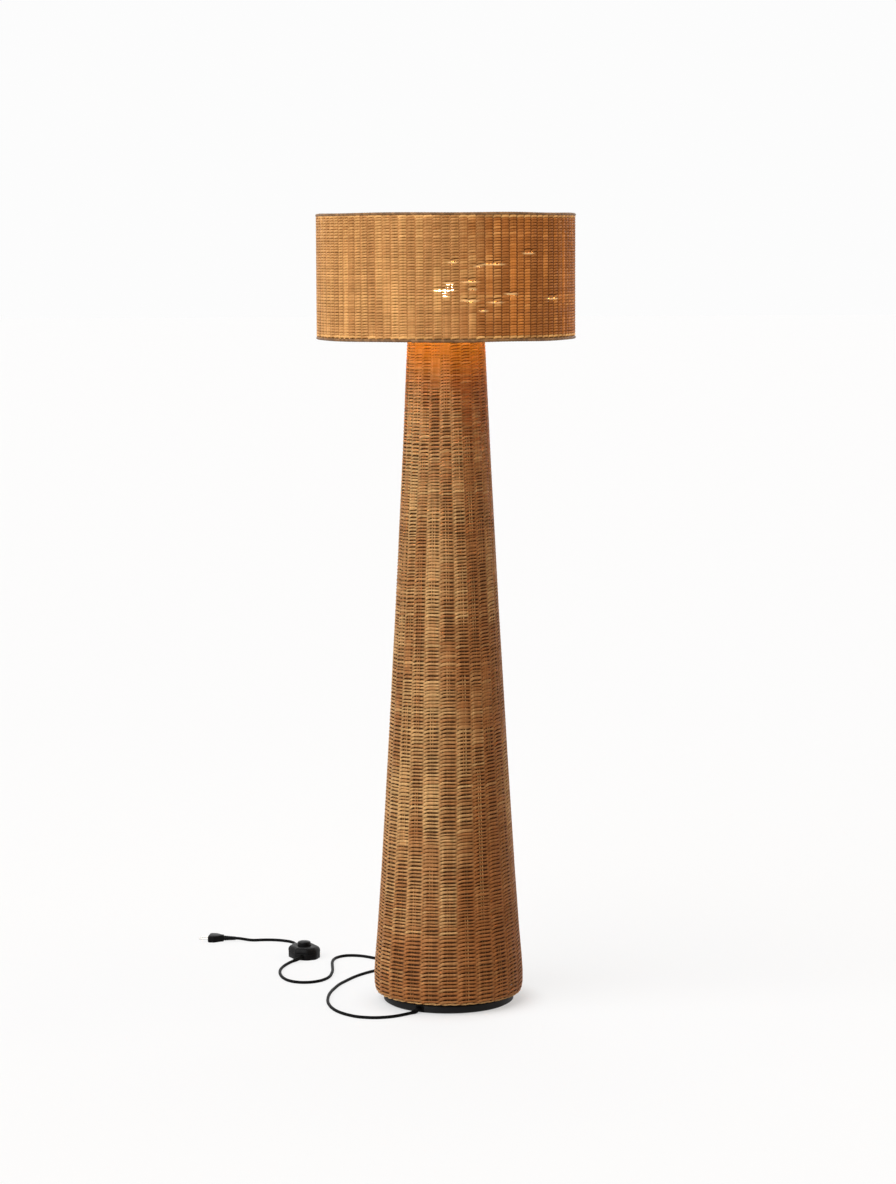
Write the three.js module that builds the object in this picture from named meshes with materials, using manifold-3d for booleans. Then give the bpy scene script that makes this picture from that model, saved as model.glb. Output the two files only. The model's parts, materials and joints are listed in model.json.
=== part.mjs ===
// A rattan floor lamp: a tapered woven column on a cast disc, with a woven drum shade,
// a screw-cap bulb in its holder, and a black lead with a foot switch and a two-pin plug.
// Millimetres, +Z up, origin on the floor under the middle of the column.
// The photographed front faces -Y.

import * as THREE from 'three';
import { mergeVertices } from 'three/addons/utils/BufferGeometryUtils.js';
import Module from 'manifold-3d';

const wasm = await Module();
wasm.setup();

// Driving dimensions

const gap = 0.3;
const overrun = 6;

const shade = { overlap: 10, height: 234, radius: 244, wall: 5, rim: 6, rimProud: 0.8, wireRadius: 2 };
const column = {
  height: 1259.7, topRadius: 72.5, overhang: 18, wall: 5, rim: 6,
  hoopRadius: 2, uprightRadius: 1.7, uprights: 4,
};
// The column's outline: heights as shares of its height, swell as shares from top to belly radius
const columnHeightShares = [0, 0.0027, 0.0085, 0.02, 0.041, 0.074, 0.138, 0.305, 0.538, 0.782, 1];
const columnSwellShares = [0.793, 0.914, 0.981, 1, 0.993, 0.944, 0.85, 0.659, 0.416, 0.184, 0];
const hoopHeightShares = [0.16, 0.42, 0.7];

const pad = { inset: 4.5, thickness: 2 };
const base = {
  radius: 124.5, top: 16, edge: 2.5, edgeShare: 0.3, foot: 1, hubRootRadius: 38, hubRadius: 20, hubTop: 62,
  cavityRadius: 29, cavityTopRadius: 14, cavityTop: 50,
  pocketInner: 46, pocketRim: 12.5, pocketDepth: 7, ribs: 6, ribWidth: 7,
};
const exit = { angle: 244.5, heading: 218, channelWall: 4 };
const cord = { radius: 3, sides: 8, insideBend: 26, clearance: 0.5 };
const bush = { wall: 1.2, lip: 1.6, lipThickness: 1.4, length: 9 };
const screw = { headRadius: 2.8, headHeight: 1.8, shankRadius: 1.3, length: 15 };

const pole = { radius: 11, wall: 1.2, flange: 3, flangeRadius: 17, plugLength: 20, drop: 33 };
const nipple = { wall: 1.4, clearance: 0.6, lowerLength: 50, reach: 9 };
const nut = { halfFlats: 7, height: 5 };
const washer = { width: 5.7, thickness: 1.5 };
const spider = { thickness: 2.5, hubRadius: 17, ringWidth: 7, armWidth: 11, arms: 3 };

const holder = {
  capHeight: 17, wall: 2, cornerShare: 1.5, shellRadius: 20, shellWall: 2.4, shellHeight: 46,
  shoulderWidth: 4, shoulderThickness: 1.6, shoulderHeight: 30, insertThickness: 6,
  bulbClearance: 0.5, sleeveWall: 0.5, sleeveHeight: 25, overlap: 6,
  tongueWidth: 6, tongueLength: 18, tongueThickness: 0.8, tongueRise: 8,
  tongueBendShare: 0.6, tongueTipShare: 0.3,
};
const shadeRing = { width: 5, clearance: 0.5, height: 7, chamfer: 1.4, grips: 8, gripRadius: 1.5 };
const fitter = {
  clearance: 0.6, width: 6.4, thickness: 1.5, arms: 4, wireRadius: 2, levelShare: 0.62, bendShare: 0.04,
};

const bulb = {
  radius: 30, wall: 1, capRadius: 13.1, capHeight: 22, capWall: 0.6, neckLength: 45,
  joinDegrees: 38, cheekShare: 0.75, glassFootShare: 0.55, capRollShare: 0.85,
  capTaperShares: [0.7, 1, 1.3, 1.6],
  insulatorHeight: 2.6, insulatorRadius: 9, tipRadius: 4.6, tipFaceShare: 0.6, tipHeight: 1.2, tipGap: 0.4,
  stemRadius: 5.5, stemNeck: 1.8, stemHeight: 46, stemFootShare: 0.35,
  filamentRadius: 0.9, filamentSpread: 9, filaments: 4, filamentShare: 0.7, filamentFootShare: 0.32,
  spokeShare: 0.8,
};

const footSwitch = {
  x: -294, y: 361, turn: 27, halfWidth: 28, halfLength: 36.5, endHalfWidth: 10, shoulder: 18.5,
  lowerHeight: 13, top: 24, wall: 2, crown: 9, crownInset: 8, cordLift: 1.5, cordDepth: 7,
  buttonClearance: 0.4, buttonRadius: 13.3, buttonTop: 34, buttonDome: 4, flange: 2, flangeThickness: 1.6,
  domeRadiusShares: [1, 0.93, 0.75, 0.4, 0], domeDropShares: [1, 0.45, 0.12, 0, 0],
  stemRadius: 2.8, wellWall: 1.3, wellHeight: 3.6, bossClearance: 0.4, bossRadius: 3.8,
};
const cam = { radius: 9.6, waist: 6.4, clearance: 0.6, stemClearance: 0.5, height: 6 };
const spring = { radius: 5.4, wire: 0.45, turns: 5, steps: 8, sides: 5 };
const terminal = {
  length: 10, width: 9, height: 10, screwRadius: 2, screwHeight: 1.6, bladeLength: 2.9,
  blade: 0.8, bladeHeight: 4,
};
const strainPost = { radius: 1.6, spread: 5, depth: 9.5 };

const coil = {
  x: -60, y: 290, outerRadius: 36.5, clearance: 0.6, turnDegrees: 1270, startDegrees: -90,
  stepsPerTurn: 24, sides: 6,
};
const tie = { thickness: 1, width: 9, at: 205 };
const plug = {
  x: -468, y: 508.3, turn: 174, width: 26, noseWidth: 35, length: 32, thickness: 13.7,
  corner: 3, bevel: 2.6, waistShares: [0.45, 0.8], flareShares: [0.28, 0.55],
  tailLength: 24, tailWall: 2.4, tailTipWall: 0.9, cordDepth: 2,
  pinRadius: 2, pinSleeve: 1.9, pinLength: 19, pinSpacing: 18.6, pinRoot: 6, pinTip: 0.6,
};

// Lead routes: points in plan as the photograph shows them, with the height of the lead's middle

const lampToCoilRoute = [
  [-62, -118.6, 4.4], [-70, -125, 3.3], [-80, -134, 3.1], [-94, -145.5, 3.1], [-109, -154.5, 3.1],
  [-125, -159.5, 3.1], [-140, -161, 3.1], [-156, -158.5, 3.1], [-171, -153, 3.1], [-186, -141.5, 3.1],
  [-200, -126, 3.1], [-212, -107, 3.1], [-221, -85, 3.1], [-227, -62, 3.1], [-231, -36, 3.1],
  [-232, -8, 3.1], [-231, 20, 3.1], [-228, 46, 3.1], [-222, 75, 3.1], [-213, 109, 3.1], [-201, 138, 3.1],
  [-186, 170, 3.1], [-168, 198, 3.1], [-148, 221, 3.1], [-124, 239, 3.2], [-98, 250, 3.8],
];
const coilToSwitchRoute = [
  [-86, 322.6, 9.8], [-104, 320.8, 7.4], [-122, 321.5, 4.6], [-138, 326.5, 3.2], [-152, 335, 3.1],
  [-165, 345.5, 3.1], [-178, 353.5, 3.1], [-194, 358, 3.1], [-210, 356, 3.1], [-224, 344, 3.1],
  [-232, 325, 3.1], [-234.5, 302, 3.1], [-234, 278, 3.1], [-232.5, 252, 3.1], [-231.5, 226, 3.1],
  [-232.5, 200, 3.1], [-236, 172, 3.1], [-245, 149, 3.1], [-260, 132, 3.1], [-279, 124.5, 3.1],
  [-298, 127.5, 3.1], [-314, 140, 3.1], [-326, 162, 3.1], [-333, 188, 3.1], [-336, 215, 3.1],
  [-335, 243, 3.1], [-329, 272, 3.1], [-320, 295, 3.6], [-309, 311, 5.2],
];
const switchToPlugRoute = [
  [-316.5, 407, 5.4], [-319.5, 422, 3.6], [-319, 440, 3.1], [-317, 458, 3.1], [-319.5, 474, 3.1],
  [-328, 487, 3.1], [-341, 496.5, 3.1], [-356, 503, 3.1], [-373, 506, 3.1], [-390, 505.5, 3.1],
  [-408, 503.5, 3.1],
];

// Finishes

const finish = {
  rattan: { color: 0xb5814f, roughness: 0.62, metalness: 0 },
  rattanRim: { color: 0x9c7450, roughness: 0.65, metalness: 0 },
  blackIron: { color: 0x1b1b1c, roughness: 0.5, metalness: 0.35 },
  felt: { color: 0x26251f, roughness: 0.95, metalness: 0 },
  steel: { color: 0x8d9094, roughness: 0.35, metalness: 0.9 },
  wire: { color: 0x5a5149, roughness: 0.45, metalness: 0.8 },
  brass: { color: 0xb48a3c, roughness: 0.3, metalness: 0.9 },
  blackPlastic: { color: 0x1d1c1c, roughness: 0.45, metalness: 0 },
  blackRubber: { color: 0x121212, roughness: 0.6, metalness: 0 },
  ceramic: { color: 0xe9e5da, roughness: 0.4, metalness: 0 },
  glass: { color: 0xfff4e2, roughness: 0.08, metalness: 0 },
  filament: { color: 0xffd79a, roughness: 0.4, metalness: 0 },
  aluminium: { color: 0xc7c8ca, roughness: 0.3, metalness: 0.9 },
  nickel: { color: 0xc9c6bd, roughness: 0.25, metalness: 0.95 },
};

const lamp = new THREE.Group();
const full = 2 * Math.PI;
const radians = THREE.MathUtils.degToRad;

// Solids: every piece passes through these

function solidOf(geometry) {
  const bare = geometry.index ? geometry.toNonIndexed() : geometry.clone();
  bare.deleteAttribute('normal');
  bare.deleteAttribute('uv');
  const merged = mergeVertices(bare, 1e-4);
  const index = merged.index.array;
  const kept = [];
  for (let i = 0; i < index.length; i += 3) {
    const [a, b, c] = [index[i], index[i + 1], index[i + 2]];
    if (a !== b && b !== c && c !== a) kept.push(a, b, c);
  }
  const vertProperties = new Float32Array(merged.attributes.position.array);
  return new wasm.Manifold(new wasm.Mesh({ numProp: 3, vertProperties, triVerts: new Uint32Array(kept) }));
}

function geometryOf(solid) {
  const mesh = solid.getMesh();
  const geometry = new THREE.BufferGeometry();
  geometry.setAttribute('position', new THREE.BufferAttribute(new Float32Array(mesh.vertProperties), 3));
  geometry.setIndex(new THREE.BufferAttribute(new Uint32Array(mesh.triVerts), 1));
  geometry.computeVertexNormals();
  return geometry;
}

function add(name, solid, look, parent = lamp) {
  const mesh = new THREE.Mesh(geometryOf(solid), new THREE.MeshStandardMaterial(look));
  mesh.name = name;
  parent.add(mesh);
  return mesh;
}

const joined = (solids) => solids.reduce((all, one) => all.add(one));
const placed = (solid, x, y, z) => solid.translate([x, y, z]);
const turned = (solid, degrees) => solid.rotate([0, 0, degrees]);

// A solid of revolution about Z. The profile's points are [radius, height], up the outside.
function revolve(profile, sides) {
  const points = profile.map(([r, z]) => new THREE.Vector2(r, z));
  const ends = [points[0], points[points.length - 1]];
  if (ends.some((p) => p.x > 0)) points.push(points[0].clone());
  return solidOf(new THREE.LatheGeometry(points, sides).rotateX(Math.PI / 2));
}

function rod(radius, height, sides = 24) {
  return revolve([[0, 0], [radius, 0], [radius, height], [0, height]], sides);
}

function pipe(outer, inner, height, sides = 24) {
  return revolve([[inner, 0], [outer, 0], [outer, height], [inner, height]], sides);
}

function shapeOf(points) {
  return new THREE.Shape(points.map(([x, y]) => new THREE.Vector2(x, y)));
}

function slab(shape, height, curveSegments = 12) {
  const settings = { depth: height, steps: 1, bevelEnabled: false, curveSegments };
  return solidOf(new THREE.ExtrudeGeometry(shape, settings));
}

function block(width, depth, height) {
  const solid = solidOf(new THREE.BoxGeometry(width, depth, height));
  return placed(solid, 0, 0, height / 2);
}

// A round section: a polygon that the tubes carry along their path
function roundShape(radius, sides) {
  const points = [];
  for (let i = 0; i < sides; i += 1) {
    const angle = (full * i) / sides;
    points.push([radius * Math.cos(angle), radius * Math.sin(angle)]);
  }
  return shapeOf(points);
}

function sweep(curve, radius, sides, steps) {
  const settings = { extrudePath: curve, steps, bevelEnabled: false };
  return solidOf(new THREE.ExtrudeGeometry(roundShape(radius, sides), settings));
}

// A wound tube: rings square to the path, held upright, joined side by side and closed at both ends
function wound(path, radius, sides) {
  const position = [];
  const index = [];
  const along = new THREE.Vector3();
  const across = new THREE.Vector3();
  const above = new THREE.Vector3();
  const up = new THREE.Vector3(0, 0, 1);
  path.forEach((point, i) => {
    const before = path[Math.max(i - 1, 0)];
    const after = path[Math.min(i + 1, path.length - 1)];
    along.subVectors(after, before).normalize();
    across.crossVectors(along, up).normalize();
    above.crossVectors(across, along);
    for (let k = 0; k < sides; k += 1) {
      const angle = (full * (k + 0.5)) / sides;
      const vertex = point.clone();
      vertex.addScaledVector(across, radius * Math.cos(angle));
      vertex.addScaledVector(above, radius * Math.sin(angle));
      position.push(vertex.x, vertex.y, vertex.z);
    }
  });
  const last = (path.length - 1) * sides;
  for (let i = 0; i < path.length - 1; i += 1) {
    for (let k = 0; k < sides; k += 1) {
      const a = i * sides + k;
      const b = i * sides + ((k + 1) % sides);
      index.push(a, b + sides, b, a, a + sides, b + sides);
    }
  }
  for (let k = 1; k < sides - 1; k += 1) {
    index.push(0, k, k + 1, last, last + k + 1, last + k);
  }
  const geometry = new THREE.BufferGeometry();
  geometry.setAttribute('position', new THREE.Float32BufferAttribute(position, 3));
  geometry.setIndex(index);
  return solidOf(geometry);
}

// The least clear space between a winding's own turns, measured on the points of its path
function leastGap(path, radius, apart) {
  let least = Infinity;
  for (let i = 0; i < path.length; i += 1) {
    for (let j = i + apart; j < path.length; j += 1) {
      least = Math.min(least, path[i].distanceTo(path[j]) - 2 * radius);
    }
  }
  return least;
}

// Column outline

const columnFoot = base.top + gap;
const columnTop = columnFoot + column.height;
const bellyRadius = base.radius + column.overhang;

const columnCurve = new THREE.SplineCurve(columnHeightShares.map((share, i) => new THREE.Vector2(
  column.topRadius + (bellyRadius - column.topRadius) * columnSwellShares[i],
  columnFoot + column.height * share,
)));

// The outer radius at a height, read off the outline
function columnRadiusAt(height) {
  const samples = 240;
  let below = columnCurve.getPoint(0);
  for (let i = 1; i <= samples; i += 1) {
    const above = columnCurve.getPoint(i / samples);
    if (above.y >= height) {
      const t = (height - below.y) / (above.y - below.y);
      return below.x + (above.x - below.x) * t;
    }
    below = above;
  }
  return column.topRadius;
}

// Base: felt pad, cast plate with its hub, and the channel that the lead leaves by

const baseBottom = pad.thickness + gap;
const nippleBore = cord.radius + nipple.clearance;
const nippleRadius = nippleBore + nipple.wall;
const plugBore = nippleRadius + gap;

add('base_pad', rod(base.radius - pad.inset, pad.thickness, 40), finish.felt);

// The lead turns from the middle of the base to the rim on one arc, and the bush lines the last of it
const leadBore = cord.radius + cord.clearance;
const exitHeight = baseBottom + gap + bush.wall + leadBore;
const channelTop = exitHeight + leadBore + bush.wall + gap;
const channelWidth = 2 * (leadBore + bush.wall + gap);
const exitPoint = {
  x: base.radius * Math.cos(radians(exit.angle)),
  y: base.radius * Math.sin(radians(exit.angle)),
};
const exitTurn = exit.angle - exit.heading;
const exitArcRadius = base.radius / (2 * Math.sin(radians(exitTurn)));
const startHeading = exit.angle + exitTurn;
const exitArcCentre = {
  x: exitArcRadius * Math.cos(radians(startHeading - 90)),
  y: exitArcRadius * Math.sin(radians(startHeading - 90)),
};

function exitArcPoint(turnedBy, height) {
  const angle = radians(startHeading + 90 - turnedBy);
  return new THREE.Vector3(
    exitArcCentre.x + exitArcRadius * Math.cos(angle),
    exitArcCentre.y + exitArcRadius * Math.sin(angle),
    height,
  );
}

function exitArcSlab(width, height, past) {
  const from = radians(startHeading + 90);
  const to = radians(startHeading + 90 - 2 * exitTurn) - past / exitArcRadius;
  const shape = new THREE.Shape();
  shape.absarc(exitArcCentre.x, exitArcCentre.y, exitArcRadius + width / 2, from, to, true);
  shape.absarc(exitArcCentre.x, exitArcCentre.y, exitArcRadius - width / 2, to, from, false);
  return slab(shape, height, 6);
}

const pocketOuter = base.radius - base.pocketRim;

function basePlate() {
  const { radius, edge, foot, top } = base;
  const plate = revolve([
    [base.cavityRadius, baseBottom],
    [radius - foot, baseBottom],
    [radius, baseBottom + foot],
    [radius, top - edge],
    [radius - edge * base.edgeShare, top - edge * base.edgeShare],
    [radius - edge, top],
    [base.hubRootRadius, top],
    [(base.hubRootRadius + base.hubRadius) / 2, (top + base.hubTop) / 2],
    [base.hubRadius, base.hubTop],
    [plugBore, base.hubTop],
    [plugBore, base.cavityTop],
    [base.cavityTopRadius, base.cavityTop],
  ], 40);
  const channelHeight = channelTop - baseBottom;
  const walls = exitArcSlab(channelWidth + 2 * exit.channelWall, base.pocketDepth + overrun, overrun);
  let ribs = placed(walls, 0, 0, baseBottom);
  for (let i = 0; i < base.ribs; i += 1) {
    const rib = block(2 * pocketOuter, base.ribWidth, base.pocketDepth + overrun);
    const half = placed(rib, pocketOuter, 0, baseBottom);
    ribs = ribs.add(turned(half, (360 * (i + 0.5)) / base.ribs));
  }
  const pocketRing = placed(pipe(pocketOuter, base.pocketInner, base.pocketDepth + overrun, 24),
    0, 0, baseBottom - overrun);
  const lowRibs = placed(ribs, 0, 0, -overrun);
  const channel = exitArcSlab(channelWidth, channelHeight + overrun, overrun);
  return plate.subtract(pocketRing.subtract(lowRibs)).subtract(placed(channel, 0, 0, baseBottom - overrun));
}

add('base_plate', basePlate(), finish.blackIron);

// Bush in the rim: a rubber sleeve that fills the channel's mouth, with a lip outside the plate
const outward = new THREE.Vector3(Math.cos(radians(exit.heading)), Math.sin(radians(exit.heading)), 0);
const bushFace = base.radius + gap + bush.lipThickness;

function cordBush() {
  const low = baseBottom + gap;
  const height = channelTop - gap - low;
  const filling = exitArcSlab(channelWidth - 2 * gap, height, overrun);
  const lip = exitArcSlab(channelWidth + 2 * bush.lip, height + bush.lip, overrun);
  const depth = pipe(bushFace, base.radius - bush.length, height, 48);
  const skirt = pipe(bushFace, base.radius + gap, height + bush.lip, 48);
  const sleeve = filling.intersect(depth).add(lip.intersect(skirt));
  const bore = rod(leadBore, 4 * bush.length, 16).rotate([0, 90, exit.heading]);
  const start = exitArcPoint(2 * exitTurn, exitHeight).addScaledVector(outward, -2 * bush.length);
  return placed(sleeve, 0, 0, low).subtract(placed(bore, start.x, start.y, start.z));
}

add('cord_bush', cordBush(), finish.blackRubber);

// Pole: a steel tube between two threaded plugs, drawn down onto the hub by a hollow threaded nipple

const lowerPlugSeat = base.hubTop + gap;
const tubeBottom = lowerPlugSeat + pole.flange + gap;
const poleTop = columnTop - pole.drop;
const tubeTop = poleTop - pole.flange - gap;
const plugRadius = pole.radius - pole.wall - gap;

function polePlug(flangeRadius) {
  return revolve([
    [plugBore, 0],
    [flangeRadius, 0],
    [flangeRadius, pole.flange],
    [plugRadius, pole.flange],
    [plugRadius, pole.flange + pole.plugLength],
    [plugBore, pole.flange + pole.plugLength],
  ], 20);
}

const poleTube = pipe(pole.radius, pole.radius - pole.wall, tubeTop - tubeBottom, 20);
add('pole_tube', placed(poleTube, 0, 0, tubeBottom), finish.wire);
add('pole_lower_plug', placed(polePlug(pole.flangeRadius), 0, 0, lowerPlugSeat), finish.steel);
const upperPlug = polePlug(pole.radius).rotate([180, 0, 0]);
add('pole_upper_plug', placed(upperPlug, 0, 0, poleTop), finish.steel);

// The nut draws the nipple down from inside the hub
const washerSeat = base.cavityTop - gap - washer.thickness;
const nutSeat = washerSeat - gap - nut.height;
const lowerNippleBottom = nutSeat - nipple.reach / 3;

function hexNut(bore) {
  const corner = nut.halfFlats / Math.cos(Math.PI / 6);
  const hole = rod(bore, nut.height + 2 * overrun, 14);
  return slab(roundShape(corner, 6), nut.height).subtract(placed(hole, 0, 0, -overrun));
}

const washerRing = pipe(plugBore + washer.width, plugBore, washer.thickness, 16);
add('pole_washer', placed(washerRing, 0, 0, washerSeat), finish.steel);
add('pole_nut', placed(hexNut(plugBore), 0, 0, nutSeat), finish.steel);
add('pole_nipple', placed(pipe(nippleRadius, nippleBore, nipple.lowerLength, 14), 0, 0, lowerNippleBottom),
  finish.steel);

// Column frame: hoops and uprights of round wire, welded where they cross, just inside the woven wall

const frameInset = column.wall + 3 * gap + column.hoopRadius;

const hoopSides = 20;

function hoop(height, sides) {
  const ring = columnRadiusAt(height) - frameInset;
  const profile = [];
  for (let i = 0; i < 4; i += 1) {
    const angle = (full * i) / 4;
    profile.push([ring + column.hoopRadius * Math.cos(angle), height + column.hoopRadius * Math.sin(angle)]);
  }
  return revolve(profile, sides);
}

const spiderLevel = poleTop + gap;
const topHoopLevel = spiderLevel + spider.thickness / 2;
const lowHoopLevel = columnFoot + column.rim + gap + column.hoopRadius;

function columnFrame() {
  const hoops = hoopHeightShares.map((share) => hoop(columnFoot + column.height * share, hoopSides));
  hoops.push(hoop(lowHoopLevel, hoopSides), hoop(topHoopLevel, hoopSides));
  const heights = [lowHoopLevel, ...columnHeightShares.map((share) => columnFoot + column.height * share)
    .filter((height) => height > lowHoopLevel && height < topHoopLevel), topHoopLevel];
  const points = heights.map((height) => new THREE.Vector3(columnRadiusAt(height) - frameInset, 0, height));
  const upright = sweep(new THREE.CatmullRomCurve3(points), column.uprightRadius, 4, 9);
  const uprights = [];
  for (let i = 0; i < column.uprights; i += 1) {
    uprights.push(turned(upright, (360 * (i + 0.5)) / column.uprights));
  }
  return joined([...hoops, ...uprights]);
}

add('column_frame', columnFrame(), finish.wire);

// Column skin: a closed wall that follows the outline, between a foot rim and a top rim

const outlineSteps = 11;

function outlineBetween(low, high) {
  const points = [[columnRadiusAt(low), low]];
  for (let i = 0; i <= outlineSteps; i += 1) {
    const point = columnCurve.getPoint(i / outlineSteps);
    if (point.y > low + gap && point.y < high - gap) points.push([point.x, point.y]);
  }
  points.push([columnRadiusAt(high), high]);
  return points;
}

function columnWall(low, high, wall) {
  const outer = outlineBetween(low, high);
  const inner = outer.map(([r, z]) => [r - wall, z]).reverse();
  return revolve([...outer, ...inner], 36);
}

const footRimTop = columnFoot + column.rim;
const topRimBottom = columnTop - column.rim;
add('column_foot_rim', columnWall(columnFoot, footRimTop, column.wall + column.rim), finish.rattanRim);
add('column_weave', columnWall(footRimTop + gap, topRimBottom - gap, column.wall), finish.rattan);
const topRimWall = column.wall + column.hoopRadius;
add('column_top_rim', columnWall(topRimBottom, columnTop, topRimWall), finish.rattanRim);

// Spider: a pressed wheel that centres the column on the pole and carries the lampholder

function columnSpider() {
  const hoopInside = columnRadiusAt(topHoopLevel) - frameInset - column.hoopRadius;
  const outer = hoopInside * Math.cos(Math.PI / hoopSides) - gap;
  const ring = pipe(outer, outer - spider.ringWidth, spider.thickness, 32);
  const hub = rod(spider.hubRadius, spider.thickness, 20);
  const arms = [];
  for (let i = 0; i < spider.arms; i += 1) {
    const length = outer - spider.ringWidth / 2;
    arms.push(turned(placed(block(length, spider.armWidth, spider.thickness), length / 2, 0, 0),
      90 + (360 * i) / spider.arms));
  }
  const bore = placed(rod(plugBore, spider.thickness + 2 * overrun, 14), 0, 0, -overrun);
  return joined([ring, hub, ...arms]).subtract(bore);
}

add('column_spider', placed(columnSpider(), 0, 0, spiderLevel), finish.wire);

// Lampholder: cap on the nipple, outer shell, insert with its contact, and the screwed sleeve

const spiderNutSeat = spiderLevel + spider.thickness + gap;
const capSeat = spiderNutSeat + nut.height + gap;
const upperNippleBottom = poleTop - pole.flange - pole.plugLength + gap;

add('spider_nut', placed(hexNut(plugBore), 0, 0, spiderNutSeat), finish.steel);
const upperNippleLength = capSeat + holder.wall + nipple.reach - upperNippleBottom;
add('holder_nipple', placed(pipe(nippleRadius, nippleBore, upperNippleLength, 14), 0, 0, upperNippleBottom),
  finish.steel);

function holderCap() {
  const { capHeight, wall } = holder;
  const capRadius = holder.shellRadius - holder.shellWall - 2 * gap;
  return revolve([
    [plugBore, 0],
    [capRadius - wall, 0],
    [capRadius, wall],
    [capRadius, capHeight],
    [capRadius - wall, capHeight],
    [capRadius - wall, wall * holder.cornerShare],
    [capRadius - wall * holder.cornerShare, wall],
    [plugBore, wall],
  ], 20);
}

add('holder_cap', placed(holderCap(), 0, 0, capSeat), finish.blackPlastic);

const shellBottom = capSeat + holder.capHeight - holder.overlap;
const shellTop = shellBottom + holder.shellHeight;
const shoulderLevel = shellBottom + holder.shoulderHeight;
const fitterLevel = shoulderLevel + holder.shoulderThickness + gap;

function holderShell() {
  const { shellRadius, shellWall, shoulderThickness } = holder;
  const shoulderRadius = shellRadius + holder.shoulderWidth;
  const inner = shellRadius - shellWall;
  return revolve([
    [inner, shellBottom],
    [shellRadius, shellBottom],
    [shellRadius, shoulderLevel],
    [shoulderRadius, shoulderLevel],
    [shoulderRadius, shoulderLevel + shoulderThickness],
    [shellRadius, shoulderLevel + shoulderThickness],
    [shellRadius, shellTop - shellWall / 2],
    [shellRadius - shellWall / 2, shellTop],
    [inner, shellTop],
  ], 20);
}

add('holder_shell', holderShell(), finish.blackPlastic);

const insertBottom = capSeat + holder.capHeight + gap;
const insertTop = insertBottom + holder.insertThickness;
const sleeveRadius = bulb.capRadius + holder.bulbClearance;
const sleeveOuter = sleeveRadius + holder.sleeveWall;
const insertRadius = holder.shellRadius - holder.shellWall - gap;

function holderInsert() {
  const bowl = revolve([
    [0, insertBottom],
    [insertRadius, insertBottom],
    [insertRadius, insertTop + holder.insertThickness],
    [sleeveOuter + gap, insertTop + holder.insertThickness],
    [sleeveOuter + gap, insertTop],
    [0, insertTop],
  ], 20);
  const screws = [-1, 1].map((side) => placed(rod(screw.headRadius, holder.insertThickness, 10),
    side * insertRadius / 2, 0, insertBottom - holder.insertThickness / 2));
  return bowl.subtract(joined(screws));
}

add('holder_insert', holderInsert(), finish.ceramic);
const sleeve = pipe(sleeveOuter, sleeveRadius, holder.sleeveHeight, 24);
add('holder_sleeve', placed(sleeve, 0, 0, insertTop + gap), finish.nickel);

// Spring tongue: a strip bent up from the insert to meet the bulb's tip
function holderTongue() {
  const { tongueLength, tongueThickness, tongueRise, tongueWidth } = holder;
  const end = tongueLength / 2;
  const shape = shapeOf([
    [-end, 0],
    [end, 0],
    [end, tongueThickness],
    [-end * holder.tongueBendShare, tongueThickness],
    [end * holder.tongueTipShare, tongueRise],
    [end * holder.tongueTipShare - tongueThickness, tongueRise],
    [-end, 2 * tongueThickness],
  ]);
  return placed(slab(shape, tongueWidth).rotate([90, 0, 0]), 0, tongueWidth / 2, 0);
}

add('holder_contact', placed(holderTongue(), 0, 0, insertTop + gap), finish.brass);

// Bulb: pear glass on a screw cap, with its insulated tip and the stem that holds the filaments

const tipLevel = insertTop + gap + holder.tongueRise + bulb.tipGap;
const bulbInsulatorLevel = tipLevel + bulb.tipHeight + gap;
const bulbCapLevel = bulbInsulatorLevel + bulb.insulatorHeight + gap;
const bulbCentre = tipLevel + bulb.neckLength + bulb.radius;
const bulbNeck = bulb.capRadius - bulb.capWall - gap;
const glassFoot = bulbCapLevel + bulb.capHeight * bulb.glassFootShare;

add('bulb_tip', placed(revolve([
  [0, 0], [bulb.tipRadius * bulb.tipFaceShare, 0], [bulb.tipRadius, bulb.tipHeight], [0, bulb.tipHeight],
], 20), 0, 0, tipLevel), finish.aluminium);
add('bulb_insulator', placed(revolve([
  [0, 0], [bulb.tipRadius + gap, 0], [bulb.insulatorRadius, bulb.insulatorHeight], [0, bulb.insulatorHeight],
], 24), 0, 0, bulbInsulatorLevel), finish.blackPlastic);

function bulbCap() {
  const { capRadius, capHeight, capWall } = bulb;
  const taper = capRadius - bulb.insulatorRadius;
  const [corner, groove, thread, floor] = bulb.capTaperShares.map((share) => share * taper);
  return revolve([
    [0, 0],
    [bulb.insulatorRadius, 0],
    [capRadius - capWall, corner],
    [capRadius - capWall, groove],
    [capRadius, thread],
    [capRadius, capHeight * bulb.capRollShare],
    [capRadius - capWall / 2, capHeight],
    [capRadius - capWall, capHeight],
    [capRadius - capWall, floor],
    [0, groove],
  ], 20);
}

add('bulb_cap', placed(bulbCap(), 0, 0, bulbCapLevel), finish.nickel);

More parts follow.
